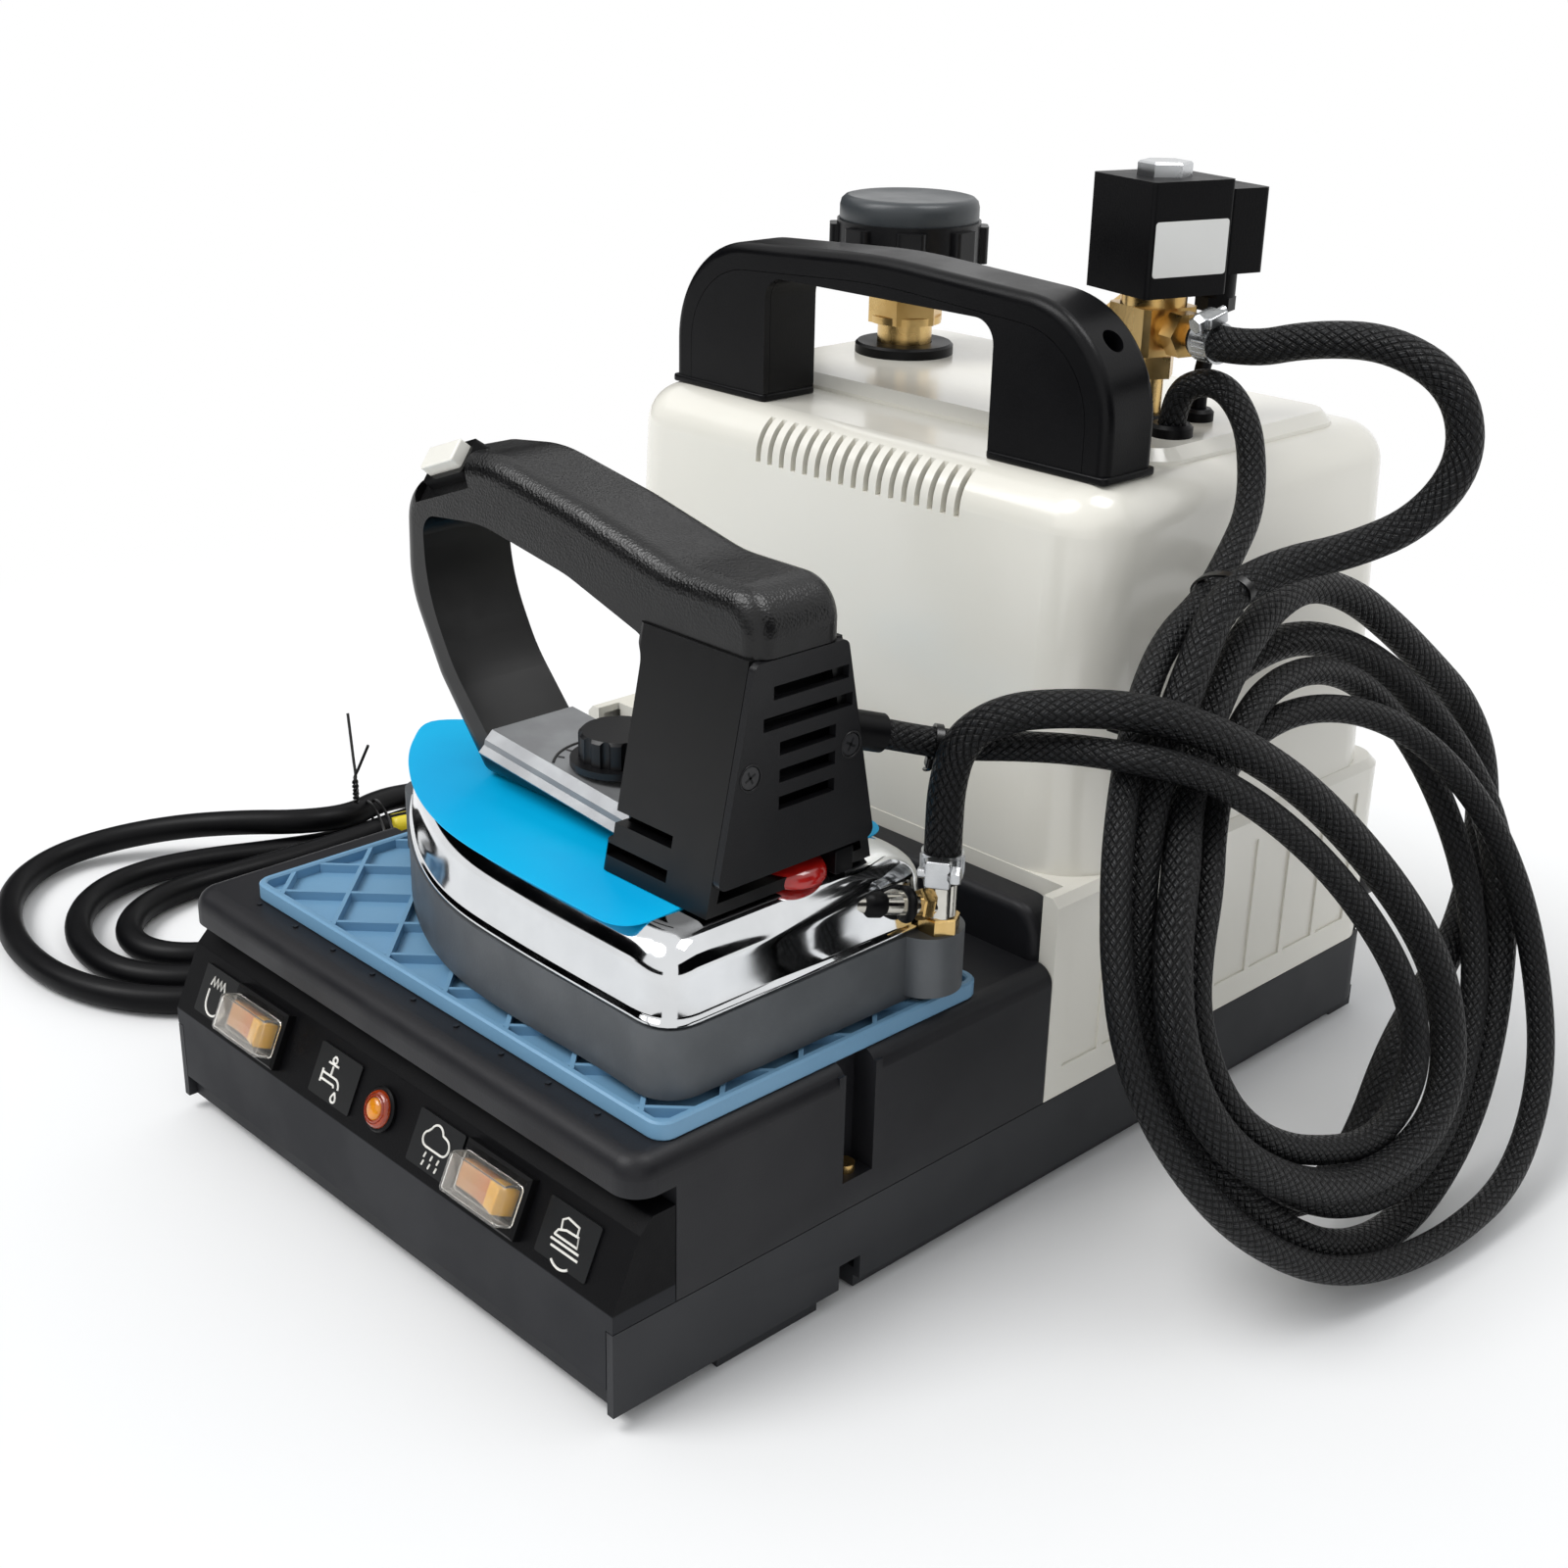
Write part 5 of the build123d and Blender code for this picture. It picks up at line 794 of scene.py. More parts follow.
# ------------------------------------------------------------------ pieces
def lay_cord(name, points, diameter, sides, finish, slot, stands_for, body=None, **facts):
    """A cord along the smooth line of its points; without a body its place is baked into its mesh."""
    line = nurbs_line(points)
    cord = dress(hose_skin(name, line, diameter / 2, sides), finish)
    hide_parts(*stands_for)
    if body is None:
        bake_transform(cord)
    else:
        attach(cord, body)
    return line


def make_steam_hose():
    """The braided hose: down from the valve, round the hank, across it and up to the iron."""
    points = HOSE_DOWN + hank_turns(HOSE_TURNS) + [on_hank(*p) for p in HOSE_ACROSS] + HOSE_TO_IRON
    solids = ("steam_hose_upper", "hose_hank", "steam_hose_lead")
    return lay_cord(
        "steam_hose", points, HOSE_WIDTH, 24, "braid_black", "braid_black", solids, far_end="object",
    )


def make_iron_cable():
    """The iron's cable: down from the cover, round the hank, across it and up to the iron."""
    points = CABLE_DOWN + hank_turns(CABLE_TURNS) + [on_hank(*p) for p in CABLE_ACROSS] + CABLE_TO_IRON
    solids = ("iron_cable_upper", "iron_cable_lead")
    return lay_cord(
        "iron_cable", points, CABLE_WIDTH, 20, "cable_braid", "braid_black", solids, far_end="object",
    )


def make_mains_cord():
    """The mains cord: from its grip over the coil, round it and out to the plug."""
    solids = ("power_cord", "power_cord_coil")
    return lay_cord(
        "mains_cord", MAINS_ROUTE, MAINS_WIDTH, 22, "black_rubber", "black_rubber", solids, "base",
        far_end="plug", with_pieces=["power_plug"],
    )


# ------------------------------------------------------------------ the iron
IRON_PLACE = np.array([119.5, -118.0])
SOLE_SIZE = (218.0, 61.5, 14.0)          # length, half width, heel corner
FLANK = ((0.0, 1.0), (0.3, 0.985), (0.5, 0.93), (0.66, 0.76), (0.82, 0.47), (0.945, 0.165))
FILM_FLANK = ((0.0, 1.0), (0.3, 0.985), (0.5, 0.935), (0.66, 0.78), (0.8, 0.53), (0.9, 0.26))
COVER_FOOT, COVER_FLAT = 122.7, 149.6
FILM_HEEL = -23.0


def flank_line(inset, flank=FLANK):
    """One flank, round the nose and back along the other, in the iron's own x and y."""
    length, half, corner = SOLE_SIZE
    length, half = length - 2 * inset, half - inset
    near = [(-inset - corner - (length - corner) * u, half * w) for u, w in flank]
    tip = min(1.0, flank[-1][0] + 0.055)
    nose = (-inset - corner - (length - corner) * tip, 0)
    return smooth_line(near + [nose] + [(x, -y) for x, y in near[::-1]], 10)


def even_points(line, count):
    """The same line with its points set at even steps of length."""
    run = lengths(line)
    steps = np.linspace(0, run[-1], count)
    return np.column_stack([np.interp(steps, run, line[:, k]) for k in range(line.shape[1])])


def corner_line(start, crest, end):
    """Quadratic bend from start to end that leans on its crest point."""
    t = np.linspace(0, 1, 9)[:, None]
    return (1 - t) ** 2 * np.array(start) + 2 * t * (1 - t) * np.array(crest) + t**2 * np.array(end)


def iron_plan(inset, heel=None, corner=None, flank=FLANK):
    """Closed plan of the iron shrunk by an inset and cut straight at its heel."""
    heel = -inset if heel is None else heel
    corner = max(SOLE_SIZE[2] - 0.5 * inset, 2.0) if corner is None else corner
    flank = flank_line(inset, flank)
    flank = even_points(flank[flank[:, 0] < heel - corner + 0.01], 121)
    (x0, y0), (x1, y1) = flank[-1], flank[0]
    low = corner_line((x0, y0), (heel, y0), (heel, y0 + corner))
    high = corner_line((heel, y1 - corner), (heel, y1), (x1, y1))
    return np.vstack([flank, low[1:], high[:-1]]) + IRON_PLACE


def plan_rows(levels, **plan):
    """Stacks the iron's plan at (inset, height) pairs."""
    return np.array([at_height(iron_plan(inset, **plan), height) for inset, height in levels])


def make_cover():
    """Pressed chrome cover: rolled rim, steep flank, then a quarter round into the flat top."""
    roll = 12.0
    levels = [
        (1.8, COVER_FOOT), (0.9, 123.1), (0.5, 123.9), (0.8, 124.7), (1.7, 125.3), (2.0, 126.2),
        (2.4, 131.0),
    ]
    turn = np.linspace(0, pi / 2, 12)
    levels += [(3.3 + roll * (1 - cos(a)), COVER_FLAT - roll + roll * sin(a)) for a in turn]
    rim = skin(plan_rows(levels))
    add("chrome_cover", [rim], "chrome_cover", "iron", "chrome_cover", "iron_cover", smooth=50)


def make_film():
    """Blue sheet under the handle, its edge standing out over the rolled cover and just drooping."""
    top = COVER_FLAT
    levels = [(13.0, top + 0.05), (2.5, top - 0.3), (2.5, top + 0.1), (13.0, top + 0.5)]
    sheet = skin(plan_rows(levels, heel=FILM_HEEL, corner=12.0, flank=FILM_FLANK))
    add("blue_film", [sheet], "cyan_film", "iron", "cyan_film", "film_shield")


DIAL_PLACE = np.array([24.5, -118.0, 165.55])
PLATE_SLOPE = atan2(6.5, 79.0)


def make_dial_scale():
    """A printed arc and ticks on the plate by the dial: parts of circles in the plate's plane."""
    run = np.array([cos(PLATE_SLOPE), 0, -sin(PLATE_SLOPE)])
    over = np.array([0, 1, 0])
    turn = np.radians(np.linspace(132, 228, 40))[:, None]
    marks = [tube(DIAL_PLACE + 22.6 * (np.cos(turn) * run + np.sin(turn) * over), 0.55, 6)]
    for angle in np.radians((145, 162, 180, 198, 215)):
        way = cos(angle) * run + sin(angle) * over
        marks.append(tube(DIAL_PLACE + np.array([[19.6], [21.8]]) * way, 0.45, 6))
    add("dial_scale", marks, "ring_black", "iron", "plate_black")


BRANCH = np.array([(122.7, -65.5, 132.7), (110.5, -101.0, 139.7)])
HOSE_FOOT = (122.7, -62.5)


HEEL_FACE_X = 111.5
HEEL_SCREWS = ((-139.0, 194.0), (-96.0, 194.0))
SCREW_TURNS = (25, 60)


def make_heel_trim():
    """Dark slabs behind the louvres and dark crosses on the screws, both painted shade in hollows; the
    screws' rims and the red lens.
    """
    ways = ((0, 1, 0), (0, 0, 1), (1, 0, 0))
    # painted shade: dark slabs set behind the louvres stand for the shade in the heel's hollow
    parts = [
        slab(20.0, 20.0, 2.0, -9.0, -7.8, 0.3, ((HEEL_FACE_X, -115.0, 187.0), *ways)),
        slab(17.0, 11.0, 2.0, -9.4, -8.2, 0.3, ((HEEL_FACE_X, -115.0, 214.0), *ways)),
        slab(4.0, 4.2, 0.8, -12.0, -0.6, 0.3, ((HEEL_FACE_X, -96.6, 154.1), *ways)),
    ]
    add("heel_hollow_shade", parts, "handle_black", "iron", "handle_black")
    rims = [torus((HEEL_FACE_X + 0.05, y, z), (1, 0, 0), 4.2, 0.35) for y, z in HEEL_SCREWS]
    # the rims share the heel's lighter black, painted light
    add("heel_rims", rims, "heel_lit_black", "iron", "handle_black")
    # painted shade: the crosses are dark bars, darker than the screw heads, that stand for the shade in
    # the screws' recesses
    crosses = []
    for turn, (y, z) in zip(SCREW_TURNS, HEEL_SCREWS):
        side = (0, cos(radians(turn)), sin(radians(turn)))
        crosses += cross((HEEL_FACE_X - 0.08, y, z), (1, 0, 0), side, 2.3, 0.42, 0.3)
    add("heel_cross_recess_shade", crosses, "plate_black", "iron", "handle_black")
    disc = [
        (0.3, 149.7), (10.4, 149.7), (11.4, 150.4), (11.7, 151.6), (11.4, 153.4), (10.2, 155.4),
        (0.3, 155.8),
    ]
    lens = turned(disc, (HEEL_FACE_X - 9.9, -111.5, 0), sides=72)
    add("heel_lens", [lens], "red_lens", "iron", "red_lens", "iron_lamp", smooth=60)


MAT_RIM, MAT_RIB, MAT_CORNER = 3.0, 2.0, 6.0
MAT_FOOT, MAT_SHEET_TOP, MAT_RIB_FOOT = 92.05, 94.5, 93.5
MAT_STEP = 24.0 * np.sqrt(2)


def make_mat():
    """Silicone rest: thin sheet, narrow raised rim and a lattice of ribs at 45 degrees, each rib
    a straight bar cut where its line meets the rim."""
    spots = np.array([v.co for v in frame["nodes"]["iron_mat"].data.vertices]) / MM
    (x0, y0, _), (x1, y1, top) = spots.min(axis=0), spots.max(axis=0)
    heart = np.array([(x0 + x1) / 2, (y0 + y1) / 2])
    half = np.array([(x1 - x0) / 2, (y1 - y0) / 2])
    plane = ((*heart, 0), (1, 0, 0), (0, 1, 0), (0, 0, 1))
    sheet = slab(half[0] - 0.5, half[1] - 0.5, MAT_CORNER, MAT_FOOT, MAT_SHEET_TOP, 0.5, plane)
    profile = (
        (0.4, MAT_FOOT), (0.0, 92.6), (0.0, top - 0.7), (0.7, top), (MAT_RIM - 0.7, top),
        (MAT_RIM, top - 0.6), (MAT_RIM, 93.0), (0.4, MAT_FOOT),
    )
    rim = [
        at_height(rounded(*(half - inset), max(MAT_CORNER - inset, 1.0)) + heart, height)
        for inset, height in profile
    ]
    parts = [sheet, skin(np.array(rim), caps=False)]
    room = half - MAT_RIM + 0.3
    count = int(np.sum(room) / MAT_STEP) + 1
    for lean in (1, -1):
        crest = top - 0.65 - 0.05 * lean
        side = np.array([-lean, 1]) / np.sqrt(2) * MAT_RIB / 2
        section = ((-1, MAT_RIB_FOOT), (-0.8, crest), (0.8, crest), (1, MAT_RIB_FOOT))
        for k in range(-count, count + 1):
            shift = k * MAT_STEP
            low = max(-room[0], -lean * shift - room[1])
            high = min(room[0], -lean * shift + room[1])
            if high - low < 2.0:
                continue
            line = np.array([(t, lean * t + shift) for t in (low, high)]) + heart
            rib = [[(*(spot + side * w), h) for w, h in section] for spot in line]
            parts.append(skin(np.array(rib)))
    add("rest_mat", parts, "mat_steel_blue", "base", "mat_steel_blue", "iron_mat", smooth=35)


def make_inlet_trim():
    """Brass nut under the hose, rubber ring and black plug on the side branch."""
    start, way = BRANCH[0], BRANCH[1] - BRANCH[0]
    nut = [(5.0, 0.0), (6.9, 0.0), (7.2, 0.5), (7.2, 5.2), (6.6, 5.8), (5.0, 5.8)]
    nut = turned(nut, (*HOSE_FOOT, COVER_FOOT + 0.1), sides=6)
    add("inlet_nut", [nut], "brass_fittings", "iron", "brass_fittings")
    gland = [(3.4, 0.0), (5.4, 0.0), (5.6, 0.5), (5.6, 3.4), (5.0, 4.0), (3.4, 4.0)]
    gland = turned(gland, start + 0.06 * way, way, 6)
    add("branch_nut", [gland], "brass_fittings", "iron", "brass_fittings")
    seal = torus(start + 0.28 * way, way, 4.6, 1.7)
    line = start + np.linspace(0.5, 0.72, 6)[:, None] * way
    plug = tube(line, [3.6, 4.5, 4.5, 4.5, 4.5, 3.6], 24)
    add("branch_seal", [seal, plug], "black_rubber", "iron", "black_rubber")


# ------------------------------------------------------------------ the control panel
FACE_HEART = (-204.5, 55.55)
FACE_UP = (0.0, 0.418094, 0.908403)
FACE_OUT = (0.0, -0.908403, 0.418094)
PLATE_X = (-106.0, -27.0, 33.0, 103.0)
PLATE_TOP = 0.8
LAMP_PLACE = (1.0, *FACE_HEART)
SWITCH_X = {"left": -76.0, "right": 66.0}
BEZEL_TOP = 4.05
HOOD_HALF, HOOD_CORNER, HOOD_WALL = (15.6, 7.4), 2.2, 0.8


def on_face(x):
    """The control face at x: its origin and its right, up and outward ways."""
    return ((x, *FACE_HEART), (1, 0, 0), FACE_UP, FACE_OUT)


def heater_glyph():
    """A heater in a vessel."""
    teeth = [(-6.5 + 1.2 * k, 6.0 if k % 2 else 2.6) for k in range(9)]
    return [teeth, [(-6.5, 1.0), (-6.5, -3.0)] + arc(-1.5, -3.0, 5.0, 180, 360) + [(3.5, 0.0)]]


def tap_glyph():
    """A tap with a drop."""
    spout = [(-7.0, -0.4), (0.5, -0.4)] + arc(0.5, -3.4, 3.0, 90, 0, 6)
    inner = [(-7.0, -2.8), (0.0, -2.8)] + arc(0.0, -3.6, 0.8, 90, 0, 4)
    drop = [(2.4, -4.6)] + arc(2.4, -7.0, 1.3, 150, 390, 9) + [(2.4, -4.6)]
    end, stem, bar = [(-7.4, 0.8), (-7.4, -4.0)], [(-2.4, -0.4), (-2.4, 3.2)], [(-5.4, 3.8), (0.6, 3.8)]
    return [spout, inner, end, stem, bar, arc(-2.4, 5.4, 1.2, 0, 360, 10), drop]


def cloud_glyph():
    """A cloud with rain."""
    cloud = arc(-4.6, 1.0, 2.6, 270, 110, 8) + arc(-1.0, 3.6, 3.4, 160, 20, 9)
    cloud += arc(3.8, 1.4, 3.0, 80, -90, 9)
    drops = [[(x, y), (x - 0.5, y - 1.8)] for y in (-3.2, -6.0) for x in (-3.4, 0.2, 3.8)]
    return [cloud + [cloud[0]]] + drops


def station_glyph():
    """An iron with steam under its sole."""
    iron = [(-6.0, -1.0), (-5.0, 0.8), (-1.5, 2.0), (4.4, 2.2), (5.2, -1.0), (-6.0, -1.0)]
    grip = [(-3.8, 1.4), (-4.4, 4.4), (-2.4, 5.8), (3.4, 5.0), (3.6, 2.2)]
    lines = [[(-7.0, -2.6), (6.6, -2.6)], [(-6.0, -4.6), (7.0, -4.6)]]
    return [iron, grip, *lines, arc(0.0, -3.6, 6.4, 230, 310, 8)]


GLYPHS = {"heater": heater_glyph, "tap": tap_glyph, "steam": cloud_glyph, "station": station_glyph}


def make_glyphs(width):
    """White line pictures on the four plates, each line a half-sunk round bead."""
    for x, (name, draw) in zip(PLATE_X, GLYPHS.items()):
        lines = [placed(at_height(np.array(stroke), PLATE_TOP), on_face(x)) for stroke in draw()]
        beads = [tube(line, width / 2, 6) for line in lines]
        add("glyph_" + name, beads, "icon_white", "base", "icon_white")


def hood_rows(x, inset, tall):
    """One skin of a hood: its outline at five levels, and drawn in further at each."""
    rows = []
    for shrink, height in ((0.0, 0.0), (0.35, tall - 1.2), (0.7, tall - 0.35), (1.4, tall), (6.2, tall)):
        gap = shrink + inset
        flat = rounded(HOOD_HALF[0] - gap, HOOD_HALF[1] - gap, max(HOOD_CORNER - gap, 0.2))
        rows.append(at_height(flat, BEZEL_TOP + height))
    return placed(np.array(rows), on_face(x))


def make_hoods(proud):
    """Clear hoods on the switch rims: a rounded box with a wall, its sides leaning in."""
    for name, x in SWITCH_X.items():
        outer = hood_rows(x, 0.0, proud)
        inner = hood_rows(x, HOOD_WALL, proud - HOOD_WALL)[::-1]
        grids = [np.array([inner[-1], outer[0]]), outer, inner]
        for ring in (outer[-1], inner[0]):
            middle = ring.mean(axis=0)
            grids.append(np.array([ring, middle + (ring - middle) * 0.01]))
        skins = [skin(grid, caps=False) for grid in grids]
        hood = add("hood_" + name, skins, "clear_cover", "base", "clear_cover")
    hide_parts("switch_covers")


def make_rockers(tall):
    """See-saw keys: a rounded section carried along the switch, its top hollowed towards the pivot."""
    half_x, half_y, rest = 11.8, 4.6, radians(-8)
    along = np.array([-1, -0.985, -0.94, -0.6, -0.3, 0, 0.3, 0.6, 0.94, 0.985, 1.0])
    ends = np.array([0.75, 0.93, 1, 1, 1, 1, 1, 1, 1, 0.93, 0.75])
    rows = []
    for u, full in zip(along, ends):
        top = (tall - 1.4 + 1.4 * u * u) * (0.9 + 0.1 * full)
        mid, half = (top - 2.4) / 2, (top + 2.4) / 2 * full
        flat = rounded(half_y * full, half, 0.8)
        rows.append(np.column_stack([np.full(len(flat), u * half_x), flat[:, 0], flat[:, 1] + mid]))
    x, y, z = np.moveaxis(np.array(rows), -1, 0)
    tipped = np.stack([x * cos(rest) + z * sin(rest), y, z * cos(rest) - x * sin(rest) - 1.0], -1)
    for name, place in SWITCH_X.items():
        key = skin(placed(tipped, on_face(place)))
        finish = "amber_rocker" if name == "left" else "amber_rocker_right"
        add("key_" + name, [key], finish, name + "_rocker", "amber_rocker", "rocker_" + name)


def make_pilot_lamp():
    """Ringed lens: an orange heart inside a darker collar of steps."""
    steps = [
        (0.2, -1.0), (6.6, -1.0), (6.6, 2.0), (6.0, 3.2), (5.3, 3.6), (5.1, 3.2), (4.9, 3.2),
        (4.6, 3.9), (4.3, 4.0), (4.1, 3.4), (0.2, 3.4),
    ]
    lens = turned(steps, LAMP_PLACE, FACE_OUT)
    add("lamp_lens", [lens], "orange_lamp", "base", "orange_lamp", "pilot_lamp", smooth=60)
    dome = turned([(3.9, 3.3), (3.8, 3.8), (3.2, 4.3), (2.0, 4.7), (0.2, 4.8)], LAMP_PLACE, FACE_OUT)
    add("lamp_heart", [dome], "lamp_heart", "base", "orange_lamp", smooth=60)


def make_lamp_ring():
    """Moulded collar round the pilot lamp."""
    profile = [(6.4, 0.0), (7.9, 0.0), (7.9, 1.3), (7.3, 1.9), (6.6, 1.9), (6.2, 1.4), (6.2, 0.0)]
    ring = turned(profile, LAMP_PLACE, FACE_OUT, caps=False)
    add("lamp_collar", [ring], "black_plastic", "base", "black_plastic")


# ------------------------------------------------------------------ the boiler's top
KNOB_PLACE = (-75.0, 122.0)
COIL_HEART = np.array([74.0, 93.0, 328.0])
COIL_HALF = 18.0
VALVE_TURN = radians(-15)
HANDLE_FEET = {"left": (-110.9, -57.6), "right": (57.6, 110.9)}


def make_knob_crown():
    """Flat slate disc on the filler knob: a turned rim that rounds over into the flat."""
    profile = [
        (0.3, 316.0), (28.6, 316.0), (29.0, 317.2), (29.0, 322.6), (28.4, 324.8), (26.9, 326.2),
        (25.2, 326.6), (24.6, 326.4), (0.3, 326.5),
    ]
    add("knob_crown", [turned(profile, (*KNOB_PLACE, 0))], "crown_slate", "cap", "knob_black")


def make_coil_label():
    """Bare white label on the coil's right face."""
    out = (cos(VALVE_TURN), sin(VALVE_TURN), 0)
    side = (-sin(VALVE_TURN), cos(VALVE_TURN), 0)
    plane = (COIL_HEART + np.array(out) * COIL_HALF, side, (0, 0, 1), out)
    label = slab(16.2, 9.6, 1.2, 0.02, 0.3, 0.1, plane)
    add("coil_label", [label], "label_white", "base", "icon_white")


def make_handle_feet():
    """Collars where the carrying handle's two feet meet the cover."""
    for name, (x0, x1) in HANDLE_FEET.items():
        plane = (((x0 + x1) / 2, 37.75, 0), (1, 0, 0), (0, 1, 0), (0, 0, 1))
        form = slab((x1 - x0) / 2 + 0.5, 14.6, 2.5, 256.6, 259.4, 0.7, plane)
        add("foot_collar_" + name, [form], "handle_black", "base", "handle_black")


# ------------------------------------------------------------------ clamps, ties and tags
CLAMP_SLOTS = 22
TIE_TAIL = 9.0
WIRE = 0.75


def worm_clamp(name, centre, axis, radius, face, body, *stands_for):
    """Hose clamp: slotted band, a housing on its side and the screw across it."""
    axis, face, centre = unit(axis), unit(face), np.array(centre, float)
    across = np.cross(axis, face)
    band = [(radius, -4.5), (radius + 0.8, -4.5), (radius + 0.8, 4.5), (radius, 4.5), (radius, -4.5)]
    parts = [turned(band, centre, axis, 48, caps=False)]
    for k in range(CLAMP_SLOTS):
        angle = radians(360 / CLAMP_SLOTS * k)
        start = centre + (face * cos(angle) + across * sin(angle)) * (radius + 0.8)
        parts.append(tube(np.array([start - axis * 3.0, start + axis * 3.0]), 0.35, 5))
    housing = slab(4.4, 4.8, 1.2, radius + 0.6, radius + 5.0, 0.7, (centre, across, axis, face))
    screw_at = centre + face * (radius + 3.2)
    head = [(1.6, 3.0), (3.1, 4.2), (3.3, 4.8), (3.3, 7.0), (2.9, 7.6), (0.4, 7.6)]
    tip = [(0.5, -7.0), (1.8, -6.4), (1.8, 3.4)]
    parts += [housing, turned(head, screw_at, across, 6), turned(tip, screw_at, across, 24)]
    add(name, parts, "tank_steel", body, "tank_steel", *stands_for)


def zip_tie(name, centre, axis, spread, reach, slim, body):
    """Nylon tie: a flat band on an oval round the bundle, its lock and its cut tail."""
    axis, spread = unit(axis), np.array(spread, float)
    spread = unit(spread - axis * np.dot(spread, axis))
    up = np.cross(axis, spread)
    turn = full_turn(40)[0]
    rows = []
    for gap, along in ((0.0, -1.3), (0.9, -1.3), (0.9, 1.3), (0.0, 1.3), (0.0, -1.3)):
        ring = spread * np.cos(turn) * (reach + gap) + up * np.sin(turn) * (slim + gap)
        rows.append(centre + axis * along + ring)
    lock_at = centre + up * (slim + 1.6)
    lock = slab(2.6, 2.3, 0.7, -1.8, 1.8, 0.4, (lock_at, spread, axis, up))
    steps = ((0, 0), (0.4, 0.3), (0.7, 1.0))
    stub = [lock_at + (up * rise + spread * run) * TIE_TAIL for rise, run in steps]
    parts = [skin(np.array(rows), caps=False), lock, tube(smooth_line(stub, 6), 0.8, 6)]
    add(name, parts, "tie_black", body, "black_plastic")


def nearest(line, place):
    """Index of the line's point that is nearest to a place."""
    return int(np.argmin(np.linalg.norm(line - np.array(place, float), axis=1)))


def bundle_tie(name, strands, place, body):
    """A tie round the strands that pass a place, or round one strand."""
    lines = [LINES[key] for key in strands]
    spots = [nearest(line, place) for line in lines]
    hearts = np.array([line[k] for line, k in zip(lines, spots)])
    axis = lines[0][spots[0] + 1] - lines[0][spots[0] - 1]
    apart = hearts[-1] - hearts[0]
    room = max(STRAND_RADIUS[key] for key in strands) + 0.3
    reach = np.linalg.norm(apart) / 2 + room
    if len(lines) == 1:
        apart = np.cross(axis, (0, 0, 1))
    zip_tie(name, hearts.mean(axis=0), axis, apart, reach, room, body)


STRAND_RADIUS = {"hose": HOSE_WIDTH / 2, "cable": CABLE_WIDTH / 2}
TIES = (
    ("tie_drop", ("hose", "cable"), (148, 37, 236), "base"),
    ("tie_lead", ("hose", "cable"), (160, -16, 192), "base"),
    ("tie_boot", ("cable",), (112, -56, 186), "iron"),
)


def make_wire_tie():
    """Twisted wire round the mains cord where its turns cross, both ends standing up."""
    heart = np.array([-287.0, -28.0, 17.0])
    t = np.linspace(0, 1, 60)[:, None]
    strands = []
    for phase, lean in ((0.0, (-14.0, 6.0, 34.0)), (pi, (10.0, 4.0, 22.0))):
        wind = 6 * pi * t + phase
        rise = heart + np.array([0, 0, 10.0]) + t * np.array([0, 0, 12.0])
        spiral = rise + np.hstack([np.cos(wind), np.sin(wind), 0 * t])
        away = spiral[-1] + np.linspace(0, 1, 12)[1:, None] ** 1.3 * np.array(lean)
        strands.append(smooth_line(np.vstack([spiral[::6], away[::3]]), 5))
    turn = np.linspace(0, 2 * pi, 49)
    way = np.array([[0.94, -0.34, 0], [0.34, 0.94, 0], [0, 0, 1]])
    for shift in (-2.0, 2.0):
        loop = np.column_stack([25 * np.cos(turn), np.full(49, shift), 11.3 * np.sin(turn)])
        strands.append(loop @ way + np.array([-277.0, -22.0, 14.6]))
    wires = [tube(line, WIRE, 7) for line in strands]
    add("wire_tie", wires, "tie_black", "base", "black_plastic")


def make_tag(line):
    """Bare yellow tag folded round the mains cord, its free ends pressed together."""
    k = nearest(line, (-263, -9, 20))
    short = line[k - 4:k + 5]
    tangent, side, _ = along_line(short)
    turn = np.radians(np.linspace(-250, 70, 26))[None, :, None]
    room = MAINS_WIDTH / 2 + 0.25
    wrap = short[:, None] + room * (side[:, None] * np.cos(turn) + np.array([0, 0, 1.0]) * np.sin(turn))
    band = skin(wrap, wrap=False, caps=False)
    tag = add("cord_tag", [band], "tag_yellow", "base", "icon_white")
    tag.modifiers.new("thickness", "SOLIDIFY").thickness = 0.0004
    along = tangent[4]
    hang = np.array([0.55, -0.6, -0.58])
    plane = (line[k] + hang * 11.0, along, hang, np.cross(along, hang))
    flag = slab(7.5, 8.0, 1.0, -0.25, 0.25, 0.1, plane)
    add("cord_tag_flag", [flag], "tag_yellow", "base", "icon_white")


def make_cord_relief(line, reach):
    """Tapered sleeve with rings where the mains cord leaves its grip."""
    along = lengths(line)
    share = along[along < reach] / reach
    radius = 8.2 - 1.7 * share + 0.35 * np.sin(share * 14 * pi) * (1 - share)
    sleeve = tube(line[:len(share)], radius, 28)
    add("cord_relief", [sleeve], "black_rubber", "base", "black_rubber")


# ------------------------------------------------------------------ the add-on
class StationSizes(bpy.types.PropertyGroup):
    """The colour and the sizes, in mm, that a user would change."""
    floor: bpy.props.FloatVectorProperty(
        name="Floor", description="Colour of the studio floor", subtype="COLOR", size=3,
        default=(0.93, 0.93, 0.93), min=0, max=1,
    )
    glyph_line: bpy.props.FloatProperty(
        name="Picture line", description="Width of the lines of the plates' pictures, in mm",
        default=0.85, min=0.3, max=2,
    )
    hood_proud: bpy.props.FloatProperty(
        name="Hood height", description="Height of the clear hoods over their rims, in mm",
        default=7.0, min=2, max=8,
    )
    key_height: bpy.props.FloatProperty(
        name="Key height", description="Height of the rocker keys over their pivot, in mm",
        default=9.0, min=3, max=10,
    )
    relief_reach: bpy.props.FloatProperty(
        name="Cord sleeve", description="Length of the sleeve where the mains cord leaves, in mm",
        default=30.0, min=20, max=60,
    )


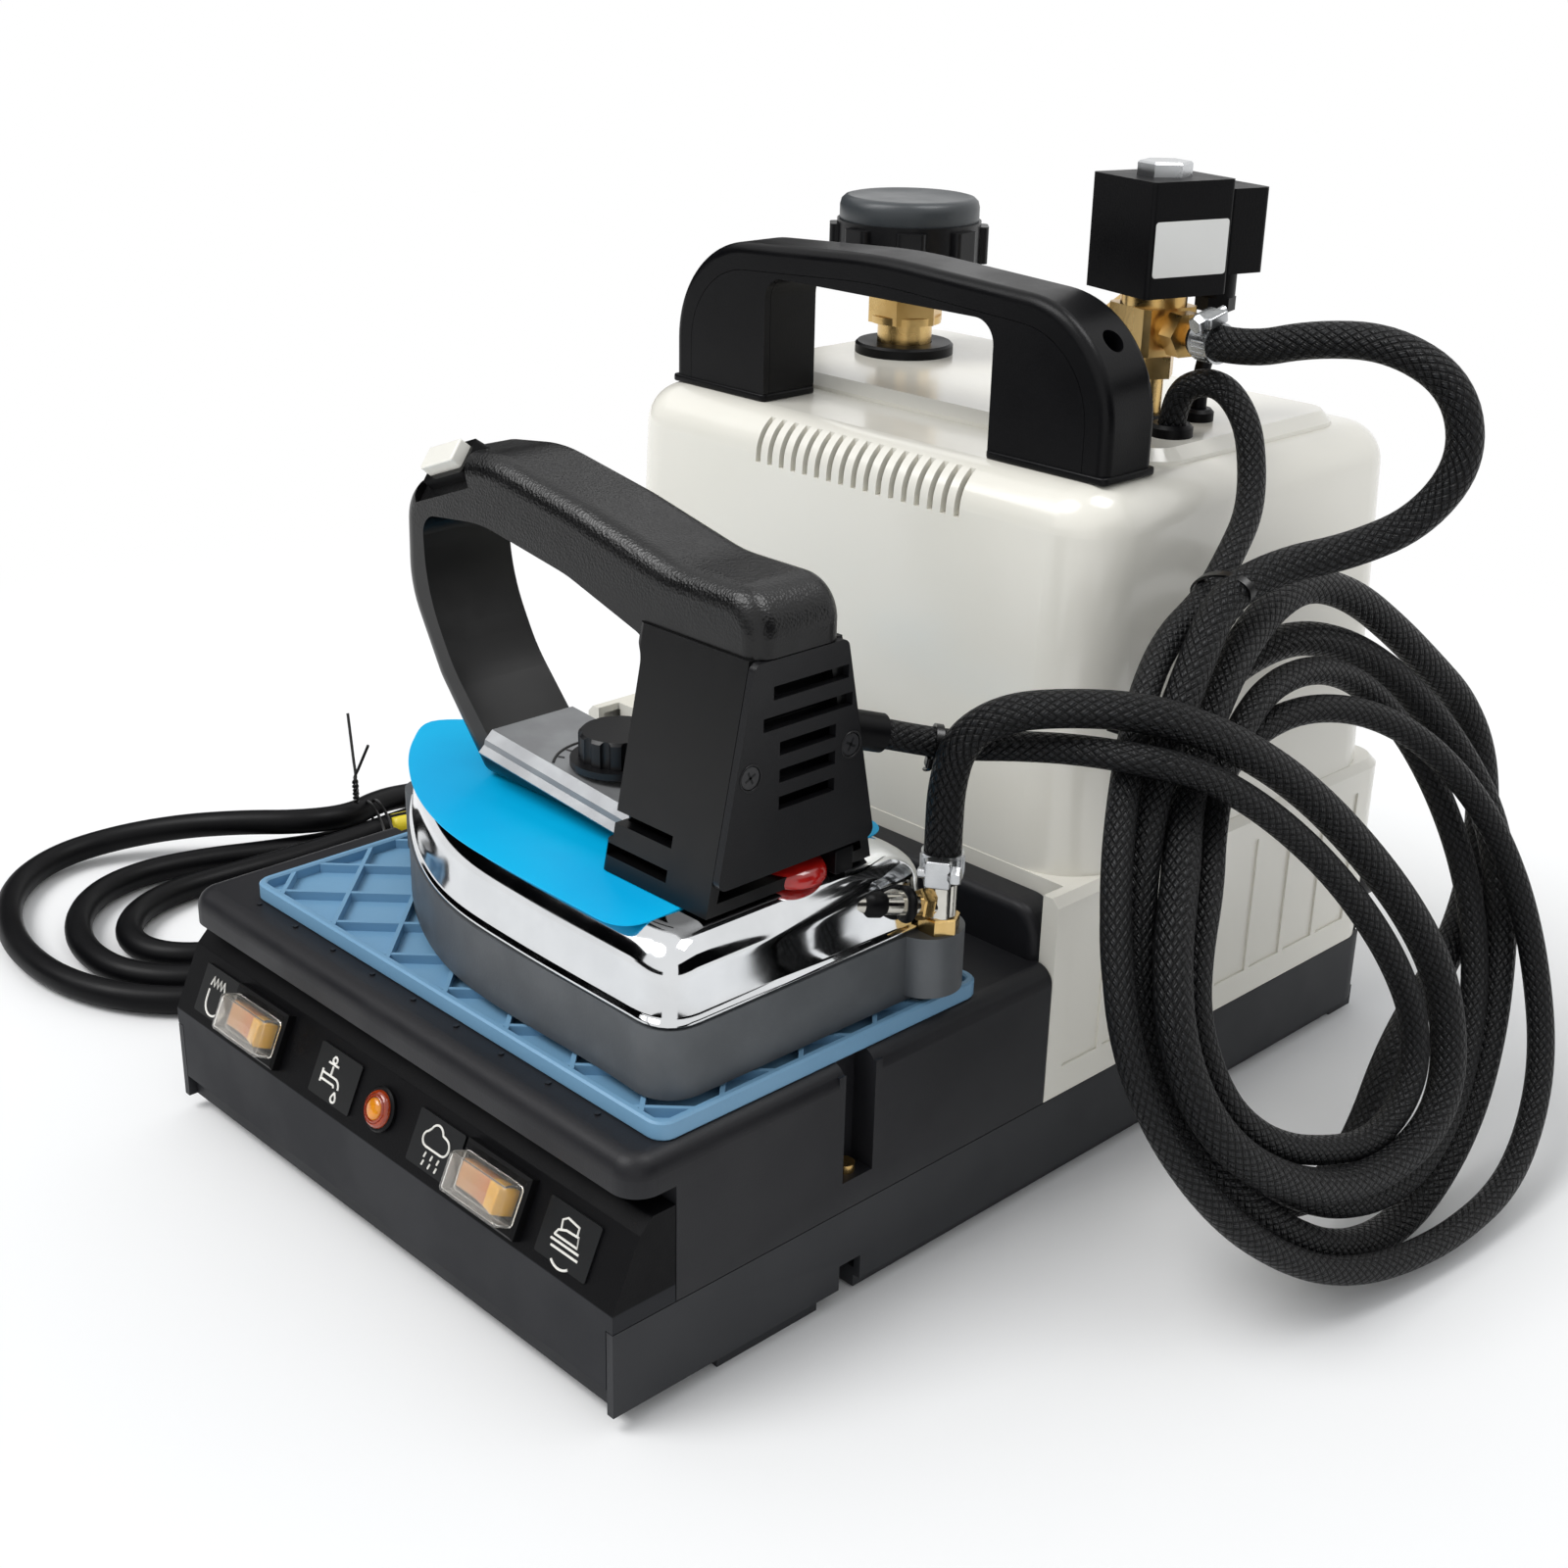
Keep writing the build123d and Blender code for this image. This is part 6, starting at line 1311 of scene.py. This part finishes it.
def settings():
    """The values of the scene that is open."""
    return bpy.context.scene.steam_station


# The lines of the three cords, kept for the ties, the tag and the sleeve that sit on them.
LINES = {}


class STEAM_OT_stage(bpy.types.Operator):
    """Lays the floor and sets the lamps and the camera."""
    bl_idname = "steam.stage"
    bl_label = "Studio"

    def execute(self, context):
        context.scene.view_settings.view_transform = "Standard"
        make_stage(tuple(settings().floor))
        place_camera()
        return {"FINISHED"}


class STEAM_OT_finishes(bpy.types.Operator):
    """Gives every solid of the frame its finish."""
    bl_idname = "steam.finishes"
    bl_label = "Finishes"

    def execute(self, context):
        FINISH.update(make_finishes())
        for node, obj in frame["nodes"].items():
            for slot in obj.material_slots:
                slot.material = FINISH[OWN_FINISH.get(node, SLOT_OF[node])]
        return {"FINISHED"}


class STEAM_OT_cords(bpy.types.Operator):
    """Winds the steam hose, the iron's cable and the mains cord."""
    bl_idname = "steam.cords"
    bl_label = "Hose and cords"

    def execute(self, context):
        LINES["hose"] = make_steam_hose()
        LINES["cable"] = make_iron_cable()
        LINES["mains"] = make_mains_cord()
        return {"FINISHED"}


class STEAM_OT_iron(bpy.types.Operator):
    """Dresses the iron and its mat: heel, chrome cover, film, dial scale, inlet and lattice."""
    bl_idname = "steam.iron"
    bl_label = "Iron"

    def execute(self, context):
        make_heel_trim()
        make_cover()
        make_film()
        make_dial_scale()
        make_inlet_trim()
        make_mat()
        return {"FINISHED"}


class STEAM_OT_panel(bpy.types.Operator):
    """Dresses the control panel: pictures, hoods, rocker keys and lamp collar."""
    bl_idname = "steam.panel"
    bl_label = "Control panel"

    def execute(self, context):
        make_glyphs(settings().glyph_line)
        make_hoods(settings().hood_proud)
        make_rockers(settings().key_height)
        make_pilot_lamp()
        make_lamp_ring()
        return {"FINISHED"}


class STEAM_OT_boiler(bpy.types.Operator):
    """Dresses the boiler's top: knob crown, coil label and handle feet."""
    bl_idname = "steam.boiler"
    bl_label = "Boiler top"

    def execute(self, context):
        make_knob_crown()
        make_coil_label()
        make_handle_feet()
        return {"FINISHED"}


class STEAM_OT_ties(bpy.types.Operator):
    """Adds the hose clamps, ties, wire tie, tag and cord sleeve."""
    bl_idname = "steam.ties"
    bl_label = "Clamps and ties"

    def execute(self, context):
        worm_clamp(
            "clamp_valve", (106.4, 84.7, 298.0), (0.977, -0.206, 0), 6.4, (0.1, -0.35, 0.93),
            "base", "hose_clamp",
        )
        worm_clamp("clamp_iron", (*HOSE_FOOT, 147.0), (0, 0, 1), 6.3, (0.55, -0.83, 0), "iron")
        for tie in TIES:
            bundle_tie(*tie)
        make_wire_tie()
        make_tag(LINES["mains"])
        make_cord_relief(LINES["mains"], settings().relief_reach)
        return {"FINISHED"}


OPERATORS = (
    STEAM_OT_stage,
    STEAM_OT_finishes,
    STEAM_OT_cords,
    STEAM_OT_iron,
    STEAM_OT_panel,
    STEAM_OT_boiler,
    STEAM_OT_ties,
)


class STEAM_PT_panel(bpy.types.Panel):
    """Lists the groups of pieces in the order they are made."""
    bl_idname = "STEAM_PT_panel"
    bl_label = "Steam generator iron"
    bl_space_type = "VIEW_3D"
    bl_region_type = "UI"
    bl_category = "Steam iron"

    def draw(self, context):
        for operator in OPERATORS:
            self.layout.operator(operator.bl_idname)


CLASSES = (StationSizes, *OPERATORS, STEAM_PT_panel)


def register():
    for cls in CLASSES:
        bpy.utils.register_class(cls)
    bpy.types.Scene.steam_station = bpy.props.PointerProperty(type=StationSizes)


def unregister():
    del bpy.types.Scene.steam_station
    for cls in reversed(CLASSES):
        bpy.utils.unregister_class(cls)


def main():
    register()
    for operator in OPERATORS:
        group, name = operator.bl_idname.split(".")
        getattr(getattr(bpy.ops, group), name)()


if __name__ == "__main__":
    main()
